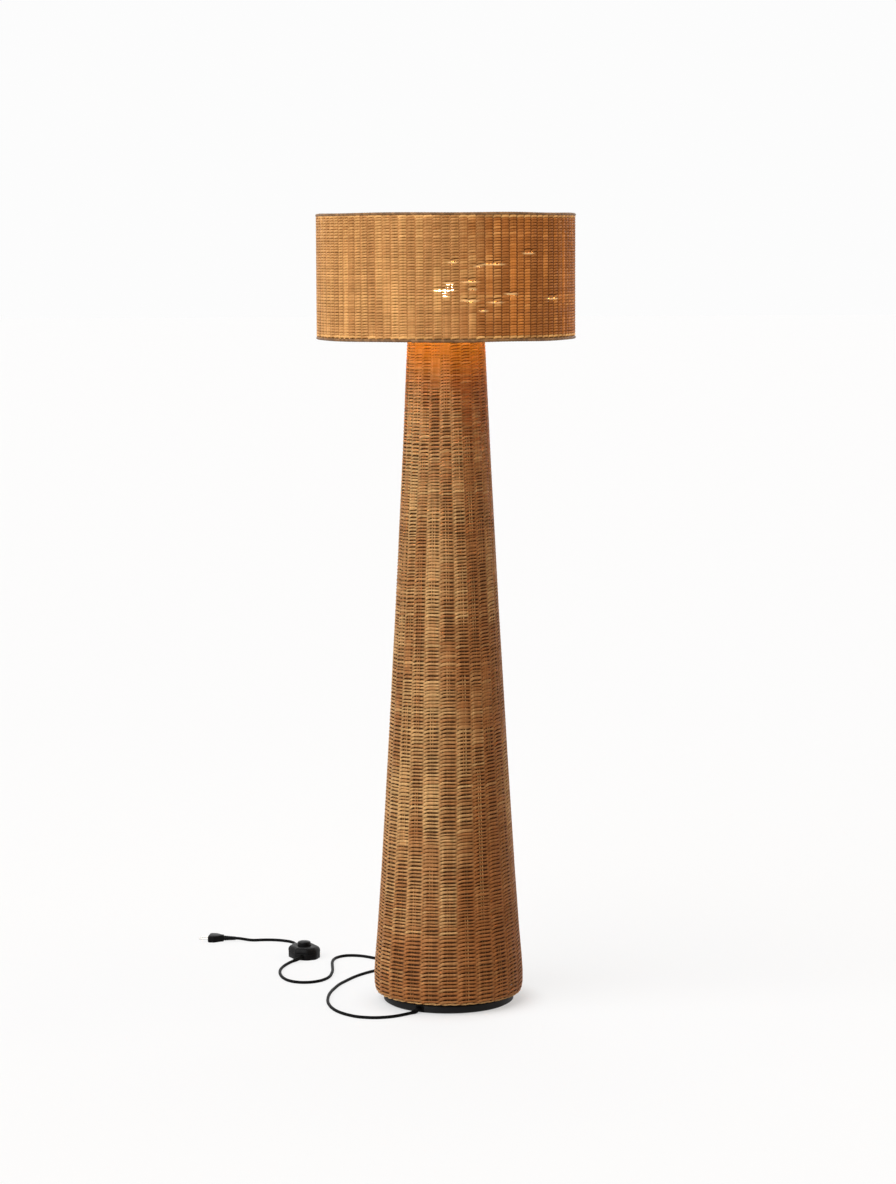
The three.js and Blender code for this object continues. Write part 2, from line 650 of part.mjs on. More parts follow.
// Half of the pear's section, from the neck to the crown, drawn in from the outside by an inset
function pearOutline(inset) {
  const radius = bulb.radius - inset;
  const neck = bulbNeck - inset;
  const neckTop = bulbCapLevel + bulb.capHeight + gap;
  const join = radians(bulb.joinDegrees);
  const cheek = bulbNeck * bulb.cheekShare;
  const curve = new THREE.CubicBezierCurve(
    new THREE.Vector2(neck, neckTop),
    new THREE.Vector2(neck, neckTop + bulbNeck),
    new THREE.Vector2(radius * Math.cos(join) - cheek * Math.sin(join),
      bulbCentre - radius * Math.sin(join) - cheek * Math.cos(join)),
    new THREE.Vector2(radius * Math.cos(join), bulbCentre - radius * Math.sin(join)),
  );
  const points = [[neck, glassFoot], ...curve.getPoints(4).map((p) => [p.x, p.y])];
  const arcSteps = 6;
  for (let i = 1; i <= arcSteps; i += 1) {
    const angle = -join + ((Math.PI / 2 + join) * i) / arcSteps;
    points.push([i === arcSteps ? 0 : radius * Math.cos(angle), bulbCentre + radius * Math.sin(angle)]);
  }
  return points;
}

function bulbGlass() {
  const outer = pearOutline(0);
  const inner = pearOutline(bulb.wall).reverse();
  return solidOf(new THREE.LatheGeometry(
    [...outer, ...inner, outer[0]].map(([r, z]) => new THREE.Vector2(r, z)), 18,
  ).rotateX(Math.PI / 2));
}

add('bulb_glass', bulbGlass(), finish.glass);

function bulbStem() {
  const foot = glassFoot;
  const height = bulb.stemHeight;
  const flare = bulbNeck - bulb.wall - gap;
  const stem = revolve([
    [0, 0],
    [flare, 0],
    [flare, bulb.wall],
    [bulb.stemRadius, bulb.stemRadius],
    [bulb.stemNeck, height * bulb.stemFootShare],
    [bulb.stemNeck, height],
    [0, height],
  ], 12);
  const lean = Math.atan((bulb.filamentSpread - bulb.stemNeck) / height);
  const spokeLength = bulb.filamentSpread * bulb.spokeShare;
  const filaments = [];
  for (let i = 0; i < bulb.filaments; i += 1) {
    const filament = rod(bulb.filamentRadius, (height * bulb.filamentShare) / Math.cos(lean), 6)
      .rotate([0, THREE.MathUtils.radToDeg(-lean), 0]);
    const spoke = block(spokeLength, bulb.filamentRadius, bulb.filamentRadius);
    const pair = placed(filament, spokeLength - bulb.filamentRadius, 0, 0)
      .add(placed(spoke, spokeLength / 2, 0, bulb.filamentRadius / 2));
    filaments.push(turned(placed(pair, 0, 0, height * bulb.filamentFootShare), (360 * i) / bulb.filaments));
  }
  return placed(joined([stem, ...filaments]), 0, 0, foot);
}

add('bulb_stem', bulbStem(), finish.filament);

// Shade: fitter ring and arms, wire rings, woven wall and wrapped rims

function retainingRing() {
  const { height, chamfer, grips, gripRadius } = shadeRing;
  const bore = holder.shellRadius + shadeRing.clearance;
  const radius = bore + shadeRing.width;
  let ring = revolve([
    [bore, 0], [radius, 0], [radius, height - chamfer], [radius - chamfer, height], [bore, height],
  ], 24);
  for (let i = 0; i < grips; i += 1) {
    const groove = placed(rod(gripRadius, height + 2 * overrun, 6), radius, 0, -overrun);
    ring = ring.subtract(turned(groove, (360 * i) / grips));
  }
  return ring;
}

const shadeRingLevel = fitterLevel + fitter.thickness + gap;
add('shade_ring', placed(retainingRing(), 0, 0, shadeRingLevel), finish.blackPlastic);
const fitterBore = holder.shellRadius + fitter.clearance;
const fitterRadius = fitterBore + fitter.width;
const fitterRing = pipe(fitterRadius, fitterBore, fitter.thickness, 24);
add('fitter_ring', placed(fitterRing, 0, 0, fitterLevel), finish.wire);

const shadeBottom = columnTop - shade.overlap;
const shadeTop = shadeBottom + shade.height;
const shadeOuter = shade.radius - shade.rimProud;
const shadeInner = shadeOuter - shade.wall;
const rimInner = shadeInner - 2 * shade.rimProud;
const wireRing = rimInner - gap - shade.wireRadius;
const lowWireLevel = shadeBottom + shade.rim / 2;
const highWireLevel = shadeTop - shade.rim / 2;

function wireHoop(ring, height) {
  const profile = [];
  for (let i = 0; i < 4; i += 1) {
    const angle = (full * i) / 4;
    profile.push([ring + shade.wireRadius * Math.cos(angle), height + shade.wireRadius * Math.sin(angle)]);
  }
  return revolve(profile, 48);
}

add('shade_bottom_wire', wireHoop(wireRing, lowWireLevel), finish.wire);
add('shade_top_wire', wireHoop(wireRing, highWireLevel), finish.wire);

function fitterArm() {
  const level = fitterLevel + fitter.thickness / 2;
  const from = fitterRadius + gap;
  const to = wireRing - shade.wireRadius - 2 * gap;
  const bend = from + (to - from) * fitter.levelShare;
  const drop = level - lowWireLevel;
  const points = [
    [from, level], [(from + bend) / 2, level], [bend, level - drop * fitter.bendShare],
    [(bend + to) / 2, level - drop / 2], [to - shade.wall, lowWireLevel + drop * fitter.bendShare],
    [to, lowWireLevel],
  ];
  const curve = new THREE.CatmullRomCurve3(points.map(([r, z]) => new THREE.Vector3(r, 0, z)));
  return sweep(curve, fitter.wireRadius, 6, 8);
}

for (let i = 0; i < fitter.arms; i += 1) {
  add(`shade_arm_${i + 1}`, turned(fitterArm(), (360 * (i + 0.5)) / fitter.arms), finish.wire);
}

const wallBottom = shadeBottom + shade.rim + gap;
const wallTop = shadeTop - shade.rim - gap;
const shadeWall = pipe(shadeOuter, shadeInner, wallTop - wallBottom, 48);
add('shade_weave', placed(shadeWall, 0, 0, wallBottom), finish.rattan);

function shadeRim() {
  const chamfer = shade.rim / 4;
  return revolve([
    [rimInner + chamfer, 0],
    [shade.radius - chamfer, 0],
    [shade.radius, chamfer],
    [shade.radius, shade.rim - chamfer],
    [shade.radius - chamfer, shade.rim],
    [rimInner + chamfer, shade.rim],
    [rimInner, shade.rim - chamfer],
    [rimInner, chamfer],
  ], 48);
}

add('shade_bottom_rim', placed(shadeRim(), 0, 0, shadeBottom), finish.rattanRim);
add('shade_top_rim', placed(shadeRim(), 0, 0, shadeTop - shade.rim), finish.rattanRim);

// Lead inside the lamp: down the pole, round in the hub, along the channel to the bush's outer face

function insideLead() {
  const alongArc = (reach) => THREE.MathUtils.radToDeg(reach / exitArcRadius);
  const top = insertBottom - gap;
  const bendTop = exitHeight + cord.insideBend;
  const straight = placed(rod(cord.radius, top - bendTop, cord.sides), 0, 0, bendTop);
  const path = [];
  for (let i = 0; i <= 6; i += 1) {
    const angle = (Math.PI / 2) * (i / 6);
    const reach = cord.insideBend * (1 - Math.cos(angle));
    path.push(exitArcPoint(alongArc(reach), bendTop - cord.insideBend * Math.sin(angle)));
  }
  const skipped = alongArc(cord.insideBend);
  for (let i = 1; i <= 6; i += 1) {
    path.push(exitArcPoint(skipped + (2 * exitTurn - skipped) * (i / 6), exitHeight));
  }
  const face = (bush.lipThickness + gap) / Math.cos(radians(exitTurn));
  path.push(exitArcPoint(2 * exitTurn, exitHeight).addScaledVector(outward, face));
  const bend = sweep(new THREE.CatmullRomCurve3(path), cord.radius, cord.sides, 18);
  const neck = placed(rod(cord.radius, cord.radius, cord.sides), 0, 0, bendTop - cord.radius / 2);
  return joined([straight, bend, neck]);
}

add('cord_in_lamp', insideLead(), finish.blackRubber);

// Free lead: each stretch starts and ends square to what it meets, a gap away from it

function leadThrough(start, startAlong, route, end, endAlong, steps) {
  const run = 2 * cord.radius;
  const points = [
    start.clone().addScaledVector(startAlong, gap),
    start.clone().addScaledVector(startAlong, gap + run),
    ...route.map(([x, y, z]) => new THREE.Vector3(x, y, z)),
    end.clone().addScaledVector(endAlong, -gap - run),
    end.clone().addScaledVector(endAlong, -gap),
  ];
  const curve = new THREE.CatmullRomCurve3(points, false, 'centripetal');
  curve.arcLengthDivisions = 400;
  console.log('lead stretch', Math.round(curve.getLength()), 'mm,', points.length, 'points');
  return sweep(curve, cord.radius, cord.sides, steps);
}

// Spare lead: a round coil behind the column, two layers, spiralling in below and out above

const coilCentre = new THREE.Vector3(coil.x, coil.y, 0);
const coilLow = cord.radius + tie.thickness + gap;
const coilPitch = 2 * cord.radius + coil.clearance;

function coilPath() {
  const total = radians(coil.turnDegrees);
  const middle = total / 2;
  const steps = Math.round((coil.turnDegrees / 360) * coil.stepsPerTurn);
  const inner = coil.outerRadius - (coilPitch * middle) / full;
  const at = (turn) => {
    const angle = radians(coil.startDegrees) + turn;
    const radius = inner + (coilPitch * Math.abs(turn - middle)) / full;
    const climb = THREE.MathUtils.smoothstep(turn, middle - Math.PI / 2, middle + Math.PI / 2);
    return new THREE.Vector3(
      coilCentre.x + radius * Math.cos(angle),
      coilCentre.y + radius * Math.sin(angle),
      coilLow + coilPitch * climb,
    );
  };
  const path = [];
  for (let i = 0; i <= steps; i += 1) path.push(at((total * i) / steps));
  const leadIn = path[0].clone().sub(path[1]).normalize();
  const leadOut = path[steps].clone().sub(path[steps - 1]).normalize();
  path.unshift(path[0].clone().addScaledVector(leadIn, 2 * cord.radius));
  path.push(path[path.length - 1].clone().addScaledVector(leadOut, 2 * cord.radius));
  return { path, leadIn: leadIn.negate(), leadOut };
}

const spare = coilPath();
const coilNeighbour = coil.stepsPerTurn / 2;
console.log('coil: least gap', leastGap(spare.path, cord.radius, coilNeighbour).toFixed(2), 'mm, length',
  Math.round(spare.path.slice(1).reduce((sum, p, i) => sum + p.distanceTo(spare.path[i]), 0)), 'mm');
add('cord_coil', wound(spare.path, cord.radius, coil.sides), finish.blackRubber);

function coilTie() {
  const turnsAt = radians(coil.turnDegrees / 2);
  const inner = coil.outerRadius - (coilPitch * turnsAt) / full - cord.radius - gap;
  const outer = coil.outerRadius + cord.radius + gap;
  const height = coilLow + coilPitch + cord.radius + gap;
  const band = block(outer - inner + 2 * tie.thickness, tie.width, height + tie.thickness);
  const hollow = block(outer - inner, tie.width + 2 * overrun, height - tie.thickness);
  const set = placed(band.subtract(placed(hollow, 0, 0, tie.thickness)), (outer + inner) / 2, 0, 0);
  return placed(turned(set, tie.at), coilCentre.x, coilCentre.y, 0);
}

add('coil_tie', coilTie(), finish.felt);

// Foot switch, in its own frame: the button's axis is its Z, the lead leaves it along +Y

const pedal = new THREE.Group();
pedal.position.set(footSwitch.x, footSwitch.y, 0);
pedal.rotation.z = radians(footSwitch.turn);
lamp.add(pedal);
pedal.updateMatrix();

function pedalOutline(inset) {
  const side = footSwitch.halfWidth - inset;
  const end = footSwitch.halfLength - inset;
  const cut = inset * Math.tan(Math.PI / 8);
  const nose = footSwitch.endHalfWidth - cut;
  const cheek = footSwitch.shoulder - cut;
  return shapeOf([
    [nose, -end], [side, -cheek], [side, cheek], [nose, end],
    [-nose, end], [-side, cheek], [-side, -cheek], [-nose, -end],
  ]);
}

const splitLevel = footSwitch.lowerHeight;
const cordHeight = footSwitch.wall + footSwitch.cordLift + leadBore;
const chamferMiddle = new THREE.Vector3(
  -(footSwitch.halfWidth + footSwitch.endHalfWidth) / 2,
  -(footSwitch.halfLength + footSwitch.shoulder) / 2,
  cordHeight,
);
const endMiddle = new THREE.Vector3(0, footSwitch.halfLength, cordHeight);
const chamferAngle = THREE.MathUtils.radToDeg(Math.atan2(
  footSwitch.halfWidth - footSwitch.endHalfWidth,
  footSwitch.halfLength - footSwitch.shoulder,
));

// Holes for the lead: in through the left front corner, out through the back end
function leadHoles() {
  const hole = rod(leadBore, 2 * footSwitch.cordDepth, 12).rotate([-90, 0, 0]);
  const inlet = placed(placed(hole, 0, -footSwitch.cordDepth, 0).rotate([0, 0, -chamferAngle]),
    chamferMiddle.x, chamferMiddle.y, chamferMiddle.z);
  const outlet = placed(hole, 0, endMiddle.y - footSwitch.cordDepth, endMiddle.z);
  return inlet.add(outlet);
}

const flangeRadius = footSwitch.buttonRadius + footSwitch.flange;
const bossPlace = flangeRadius + footSwitch.bossClearance + footSwitch.bossRadius;
const bosses = [-bossPlace, bossPlace];

function pedalLower() {
  const { wall } = footSwitch;
  const shell = slab(pedalOutline(0), splitLevel);
  const hollow = placed(slab(pedalOutline(wall), splitLevel), 0, 0, wall);
  const wellRadius = cam.radius + cam.clearance;
  const well = pipe(wellRadius + footSwitch.wellWall, wellRadius, footSwitch.wellHeight + gap, 18);
  const inward = new THREE.Vector2(Math.sin(radians(chamferAngle)), Math.cos(radians(chamferAngle)));
  const inletPost = new THREE.Vector2(chamferMiddle.x, chamferMiddle.y);
  inletPost.addScaledVector(inward, strainPost.depth);
  const posts = [];
  for (const side of [-1, 1]) {
    const post = rod(strainPost.radius, splitLevel - wall, 6);
    const aside = side * strainPost.spread;
    posts.push(placed(post, aside, endMiddle.y - strainPost.depth, wall - gap));
    posts.push(placed(post, inletPost.x + aside * inward.y, inletPost.y - aside * inward.x, wall - gap));
  }
  const pillar = rod(footSwitch.bossRadius, splitLevel - wall, 10);
  const pillars = bosses.map((x) => placed(pillar, x, 0, wall - gap));
  let body = joined([shell.subtract(hollow), placed(well, 0, 0, wall - gap), ...posts, ...pillars]);
  const screwHole = rod(screw.shankRadius + 2 * gap, splitLevel + 2 * overrun, 8);
  const headHole = rod(screw.headRadius + gap, screw.headHeight + gap + overrun, 10);
  for (const x of bosses) body = body.subtract(placed(screwHole.add(headHole), x, 0, -overrun));
  return body.subtract(leadHoles());
}

// The crowned top: the outline drawn in over the last few millimetres of its height
function crowned(inset, height) {
  const { crown, crownInset } = footSwitch;
  const settings = {
    depth: overrun, steps: 1, bevelEnabled: true, bevelThickness: crown, bevelSize: crownInset,
    bevelSegments: 3,
  };
  const solid = solidOf(new THREE.ExtrudeGeometry(pedalOutline(inset + crownInset), settings));
  return placed(solid, 0, 0, height - overrun - crown);
}

function pedalUpper() {
  const { wall, top, crown } = footSwitch;
  const low = splitLevel + gap;
  const below = 2 * top;
  const trim = block(4 * footSwitch.halfLength, 4 * footSwitch.halfLength, below);
  const skin = placed(slab(pedalOutline(0), top - crown - low + gap), 0, 0, low);
  const shell = crowned(0, top).add(skin).subtract(placed(trim, 0, 0, low - below));
  const under = placed(slab(pedalOutline(wall), top - crown - low + overrun), 0, 0, low - overrun);
  const hollow = crowned(wall, top - wall).add(under).subtract(placed(trim, 0, 0, low - below - overrun));
  const hole = rod(footSwitch.buttonRadius + footSwitch.buttonClearance, 2 * overrun, 28);
  let body = shell.subtract(hollow).subtract(placed(hole, 0, 0, top - overrun));
  const boss = placed(rod(footSwitch.bossRadius - gap, top - low - wall + gap, 10), 0, 0, low);
  const pilot = placed(rod(screw.shankRadius + gap / 2, screw.length + gap, 8), 0, 0, screw.headHeight + gap);
  for (const x of bosses) body = body.add(placed(boss, x, 0, 0)).subtract(placed(pilot, x, 0, 0));
  return body.subtract(leadHoles());
}

add('switch_lower', pedalLower(), finish.blackPlastic, pedal);
add('switch_upper', pedalUpper(), finish.blackPlastic, pedal);

bosses.forEach((x, i) => {
  const head = placed(rod(screw.headRadius, screw.headHeight, 10), 0, 0, gap);
  const shank = placed(rod(screw.shankRadius, screw.length, 8), 0, 0, gap);
  add(`switch_screw_${i + 1}`, placed(head.add(shank), x, 0, 0), finish.steel, pedal);
});

// Button: a domed cap with a flange that the housing keeps in, and a stem that reaches into the cam
const camBottom = footSwitch.wall + gap;
const camTop = camBottom + cam.height;
const flangeTop = footSwitch.top - footSwitch.wall - gap;

function switchButton() {
  const { buttonRadius, buttonTop, buttonDome, flangeThickness, stemRadius } = footSwitch;
  const flangeBottom = flangeTop - flangeThickness;
  const stemBottom = camTop - gap;
  return revolve([
    [0, stemBottom],
    [stemRadius, stemBottom],
    [stemRadius, flangeBottom],
    [flangeRadius, flangeBottom],
    [flangeRadius, flangeTop],
    [buttonRadius, flangeTop],
    ...footSwitch.domeRadiusShares.map((share, i) => [
      buttonRadius * share, buttonTop - buttonDome * footSwitch.domeDropShares[i],
    ]),
  ], 24);
}

add('switch_button', switchButton(), finish.blackPlastic, pedal);

// Cam: turns in its well an eighth of a turn at each press, and swings its lobes to the blades
function switchCam() {
  const points = [];
  const steps = 24;
  for (let i = 0; i < steps; i += 1) {
    const angle = (full * i) / steps;
    const radius = cam.waist + (cam.radius - cam.waist) * Math.sin(2 * angle) ** 2;
    points.push([radius * Math.cos(angle), radius * Math.sin(angle)]);
  }
  const bore = rod(footSwitch.stemRadius + cam.stemClearance, cam.height + 2 * overrun);
  return placed(slab(shapeOf(points), cam.height).subtract(placed(bore, 0, 0, -overrun)), 0, 0, camBottom);
}

add('switch_cam', switchCam(), finish.ceramic, pedal);

function switchSpring() {
  const low = camTop + gap + spring.wire;
  const high = flangeTop - footSwitch.flangeThickness - gap - spring.wire;
  const steps = spring.turns * spring.steps;
  const path = [];
  for (let i = 0; i <= steps; i += 1) {
    const angle = (full * i) / spring.steps;
    path.push(new THREE.Vector3(
      spring.radius * Math.cos(angle), spring.radius * Math.sin(angle), low + ((high - low) * i) / steps,
    ));
  }
  console.log('spring: least gap', leastGap(path, spring.wire, spring.steps / 2).toFixed(2), 'mm');
  return wound(path, spring.wire, spring.sides);
}

add('switch_spring', switchSpring(), finish.steel, pedal);

// Terminals: a clamp block with its screw, and a blade that waits beside the cam
function switchTerminal() {
  const { length, width, height, blade, bladeHeight } = terminal;
  const body = block(width, length, height);
  const head = placed(rod(terminal.screwRadius, terminal.screwHeight, 12), 0, 0, height - gap);
  const reach = terminal.bladeLength - gap + blade;
  const armMiddle = blade - (length + reach) / 2;
  const arm = placed(block(blade, reach, bladeHeight), 0, armMiddle, footSwitch.wellHeight);
  const cable = placed(rod(screw.shankRadius, length, 10).rotate([90, 0, 0]), 0, length, height / 2);
  return joined([body, head, arm]).subtract(cable);
}

const terminalPlace = cam.radius + terminal.bladeLength + terminal.length / 2;
const backTerminal = placed(switchTerminal(), 0, terminalPlace, footSwitch.wall + gap);
add('switch_terminal_out', backTerminal, finish.brass, pedal);
add('switch_terminal_in', turned(backTerminal, 180), finish.brass, pedal);

// Plug: a flat moulded body that narrows to a ribbed tail, and two sleeved pins

const plugGroup = new THREE.Group();
plugGroup.position.set(plug.x, plug.y, plug.thickness / 2);
plugGroup.rotation.z = radians(plug.turn);
lamp.add(plugGroup);
plugGroup.updateMatrix();

function plugBody() {
  const half = plug.width / 2;
  const nose = plug.noseWidth / 2;
  const { length, corner, bevel } = plug;
  const [tailHalf, waistHalf] = plug.waistShares.map((share) => share * half);
  const [waist, flare] = plug.flareShares.map((share) => share * length);
  const shape = shapeOf([
    [bevel, -tailHalf], [waist, -waistHalf], [flare, -nose + bevel],
    [length - bevel - corner, -nose + bevel], [length - bevel, -nose + bevel + corner],
    [length - bevel, nose - bevel - corner], [length - bevel - corner, nose - bevel],
    [flare, nose - bevel], [waist, waistHalf], [bevel, tailHalf],
  ]);
  const settings = {
    depth: plug.thickness - 2 * bevel, bevelEnabled: true, bevelThickness: bevel, bevelSize: bevel,
    bevelSegments: 2, steps: 1,
  };
  const body = placed(solidOf(new THREE.ExtrudeGeometry(shape, settings)), 0, 0, bevel - plug.thickness / 2);
  const tailTip = cord.radius + plug.tailTipWall;
  const tailRadius = cord.radius + plug.tailWall;
  const profile = [[0, -plug.tailLength]];
  const rings = 3;
  for (let i = 0; i <= rings; i += 1) {
    const along = -plug.tailLength + (plug.tailLength * i) / rings;
    const radius = tailTip + ((tailRadius - tailTip) * i) / rings;
    profile.push([radius, along]);
    if (i < rings) profile.push([radius, along + plug.tailLength / rings / 2]);
    if (i < rings) profile.push([radius - gap, along + plug.tailLength / rings / 2]);
  }
  profile.push([tailRadius, 2 * bevel], [0, 2 * bevel]);
  const tail = revolve(profile, 12).rotate([0, 90, 0]);
  const socket = placed(rod(leadBore, plug.cordDepth + overrun, 12).rotate([0, 90, 0]),
    -plug.tailLength - overrun, 0, 0);
  const pinHoles = [-1, 1].map((side) => placed(rod(plug.pinRadius + gap, plug.pinRoot + overrun, 12)
    .rotate([0, 90, 0]), length - plug.pinRoot, (side * plug.pinSpacing) / 2, 0));
  return body.add(tail).subtract(socket).subtract(joined(pinHoles));
}

function plugPin() {
  const { pinRadius, pinSleeve, pinLength, pinRoot, pinTip } = plug;
  const sleeveEnd = pinRoot + pinLength / 2;
  return revolve([
    [0, gap],
    [pinSleeve, gap],
    [pinSleeve, sleeveEnd],
    [pinRadius, sleeveEnd],
    [pinRadius, pinRoot + pinLength - pinTip],
    [pinRadius - pinTip, pinRoot + pinLength],
    [0, pinRoot + pinLength],
  ], 12).rotate([0, 90, 0]);
}

add('plug_body', plugBody(), finish.blackRubber, plugGroup);
[-1, 1].forEach((side, i) => {
  add(`plug_pin_${i + 1}`, placed(plugPin(), plug.length - plug.pinRoot, (side * plug.pinSpacing) / 2, 0),
    finish.nickel, plugGroup);
});

// The free lead's three stretches

const bushMouth = exitArcPoint(2 * exitTurn, exitHeight)
  .addScaledVector(outward, (bush.lipThickness + gap) / Math.cos(radians(exitTurn)));
const coilStart = spare.path[0];
const coilEnd = spare.path[spare.path.length - 1];
add('cord_lamp_to_coil', leadThrough(bushMouth, outward, lampToCoilRoute, coilStart, spare.leadIn, 34),
  finish.blackRubber);

function inPedal(point) {
  return point.clone().applyMatrix4(pedal.matrix);
}

function alongPedal(degrees) {
  const angle = radians(degrees + footSwitch.turn);
  return new THREE.Vector3(Math.cos(angle), Math.sin(angle), 0);
}

const inletAlong = alongPedal(90 - chamferAngle);
const outletAlong = alongPedal(90);
const inletEnd = inPedal(chamferMiddle).addScaledVector(inletAlong, footSwitch.wall);
const outletEnd = inPedal(endMiddle).addScaledVector(outletAlong, -footSwitch.wall);
add('cord_coil_to_switch', leadThrough(coilEnd, spare.leadOut, coilToSwitchRoute, inletEnd, inletAlong, 34),
  finish.blackRubber);

const plugAlong = new THREE.Vector3(Math.cos(radians(plug.turn)), Math.sin(radians(plug.turn)), 0);
const plugEnd = new THREE.Vector3(-plug.tailLength + plug.cordDepth, 0, 0).applyMatrix4(plugGroup.matrix);
add('cord_switch_to_plug', leadThrough(outletEnd, outletAlong, switchToPlugRoute, plugEnd, plugAlong, 12),
  finish.blackRubber);

export default lamp;
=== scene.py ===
"""A rattan floor lamp: the looks of a tapered woven column, its drum shade, its lead and its foot switch."""

import json
import math

import bmesh
import bpy
import numpy as np
from bpy.props import FloatProperty, FloatVectorProperty, IntProperty, PointerProperty
from mathutils import Matrix, Vector

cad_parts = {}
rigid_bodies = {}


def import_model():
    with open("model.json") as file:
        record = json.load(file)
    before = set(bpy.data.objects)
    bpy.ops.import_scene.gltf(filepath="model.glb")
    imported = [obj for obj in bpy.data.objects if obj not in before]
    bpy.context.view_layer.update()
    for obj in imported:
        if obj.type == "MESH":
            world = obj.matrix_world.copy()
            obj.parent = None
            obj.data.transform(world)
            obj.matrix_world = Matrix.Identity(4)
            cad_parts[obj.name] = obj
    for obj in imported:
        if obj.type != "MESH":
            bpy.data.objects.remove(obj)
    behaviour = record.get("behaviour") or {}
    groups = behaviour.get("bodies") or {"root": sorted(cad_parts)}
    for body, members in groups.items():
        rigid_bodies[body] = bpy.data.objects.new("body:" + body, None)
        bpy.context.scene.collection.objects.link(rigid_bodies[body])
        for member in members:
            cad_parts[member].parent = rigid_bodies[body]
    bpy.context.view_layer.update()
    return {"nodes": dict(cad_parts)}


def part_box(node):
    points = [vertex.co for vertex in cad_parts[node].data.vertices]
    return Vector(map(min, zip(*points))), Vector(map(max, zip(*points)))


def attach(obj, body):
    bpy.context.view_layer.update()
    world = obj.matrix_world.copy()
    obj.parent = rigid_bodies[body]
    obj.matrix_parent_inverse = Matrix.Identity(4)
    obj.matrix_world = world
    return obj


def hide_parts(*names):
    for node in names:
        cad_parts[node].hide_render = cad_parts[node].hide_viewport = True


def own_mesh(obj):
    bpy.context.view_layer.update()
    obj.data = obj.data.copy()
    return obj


bl_info = {
    "name": "Rattan floor lamp",
    "version": (1, 0, 0),
    "blender": (4, 5, 0),
    "location": "3D View > Sidebar > Lamp",
    "description": "Weaves, turns and finishes the pieces of a rattan floor lamp on its packed frame",
    "category": "Object",
}

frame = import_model()

MM = 0.001
FULL = 2 * math.pi

# Where things are, in metres, read off the frame

COLUMN_LOW, COLUMN_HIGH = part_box("column_weave")
SHADE_LOW, SHADE_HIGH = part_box("shade_weave")


def outline_of(node):
    """Heights and outer radii of a turned CAD node, from the bottom up."""
    widest = {}
    for corner in frame["nodes"][node].data.vertices:
        height = round(corner.co.z, 5)
        reach = math.hypot(corner.co.x, corner.co.y)
        widest[height] = max(widest.get(height, 0), reach)
    heights = sorted(widest)
    return np.array(heights), np.array([widest[height] for height in heights])


COLUMN_HEIGHTS, COLUMN_RADII = outline_of("column_weave")


def column_radius(height):
    """The column's outer radius at a height."""
    return np.interp(height, COLUMN_HEIGHTS, COLUMN_RADII)


# Shader sums and finishes


class Value:
    """A shader socket that takes part in sums written as Python expressions."""

    def __init__(self, tree, socket):
        self.tree = tree
        self.socket = socket

    def sum(self, operation, first, second):
        return self.tree.node("ShaderNodeMath", {"operation": operation}, {0: first, 1: second})

    def __add__(self, other):
        return self.sum("ADD", self, other)

    def __radd__(self, other):
        return self.sum("ADD", other, self)

    def __sub__(self, other):
        return self.sum("SUBTRACT", self, other)

    def __rsub__(self, other):
        return self.sum("SUBTRACT", other, self)

    def __mul__(self, other):
        return self.sum("MULTIPLY", self, other)

    def __rmul__(self, other):
        return self.sum("MULTIPLY", other, self)


class Tree:
    """A node tree and the few ways in which its nodes are made."""

    def __init__(self, tree):
        self.tree = tree
        tree.nodes.clear()

    def node(self, kind, settings=None, inputs=None, output=0):
        """A node of any kind: its settings first, then the values or links of its sockets."""
        made = self.tree.nodes.new(kind)
        for name, value in (settings or {}).items():
            setattr(made, name, value)
        for key, value in (inputs or {}).items():
            if isinstance(value, Value):
                self.tree.links.new(value.socket, made.inputs[key])
            else:
                made.inputs[key].default_value = value
        return Value(self, made.outputs[output]) if len(made.outputs) else made

    def place(self, scale=(1, 1, 1), shift=(0, 0, 0)):
        """Object coordinates, scaled and shifted."""
        found = self.node("ShaderNodeTexCoord", output="Object")
        return self.node("ShaderNodeMapping", {}, {0: found, "Scale": scale, "Location": shift})

    def attribute(self, name):
        return self.node("ShaderNodeAttribute", {"attribute_name": name}, output="Fac")

    def noise(self, scale, detail=2.0, roughness=0.5, distortion=0.0, shift=(0, 0, 0)):
        """Noise from 0 to 1. The scale is one number, or one for each axis."""
        scale = scale if isinstance(scale, tuple) else (scale, scale, scale)
        return self.node("ShaderNodeTexNoise", {}, {
            "Vector": self.place(scale, shift), "Scale": 1.0, "Detail": detail, "Roughness": roughness,
            "Distortion": distortion,
        })

    def stretch(self, value, low, high, to_low=0.0, to_high=1.0):
        """A value taken from one range to another, and held inside it."""
        ends = {0: value, 1: low, 2: high, 3: to_low, 4: to_high}
        return self.node("ShaderNodeMapRange", {"clamp": True, "interpolation_type": "SMOOTHSTEP"}, ends)

    def mix(self, factor, first, second, blend="MIX"):
        """Two colours mixed. A plain colour is given as three numbers."""
        first = first if isinstance(first, Value) else (*first, 1)
        second = second if isinstance(second, Value) else (*second, 1)
        settings = {"data_type": "RGBA", "blend_type": blend, "clamp_factor": True}
        return self.node("ShaderNodeMix", settings, {0: factor, 6: first, 7: second}, 2)

    def shaded(self, colour, share):
        """A colour multiplied by a value."""
        grey = self.node("ShaderNodeCombineColor", {}, {0: share, 1: share, 2: share})
        return self.mix(1.0, colour, grey, "MULTIPLY")


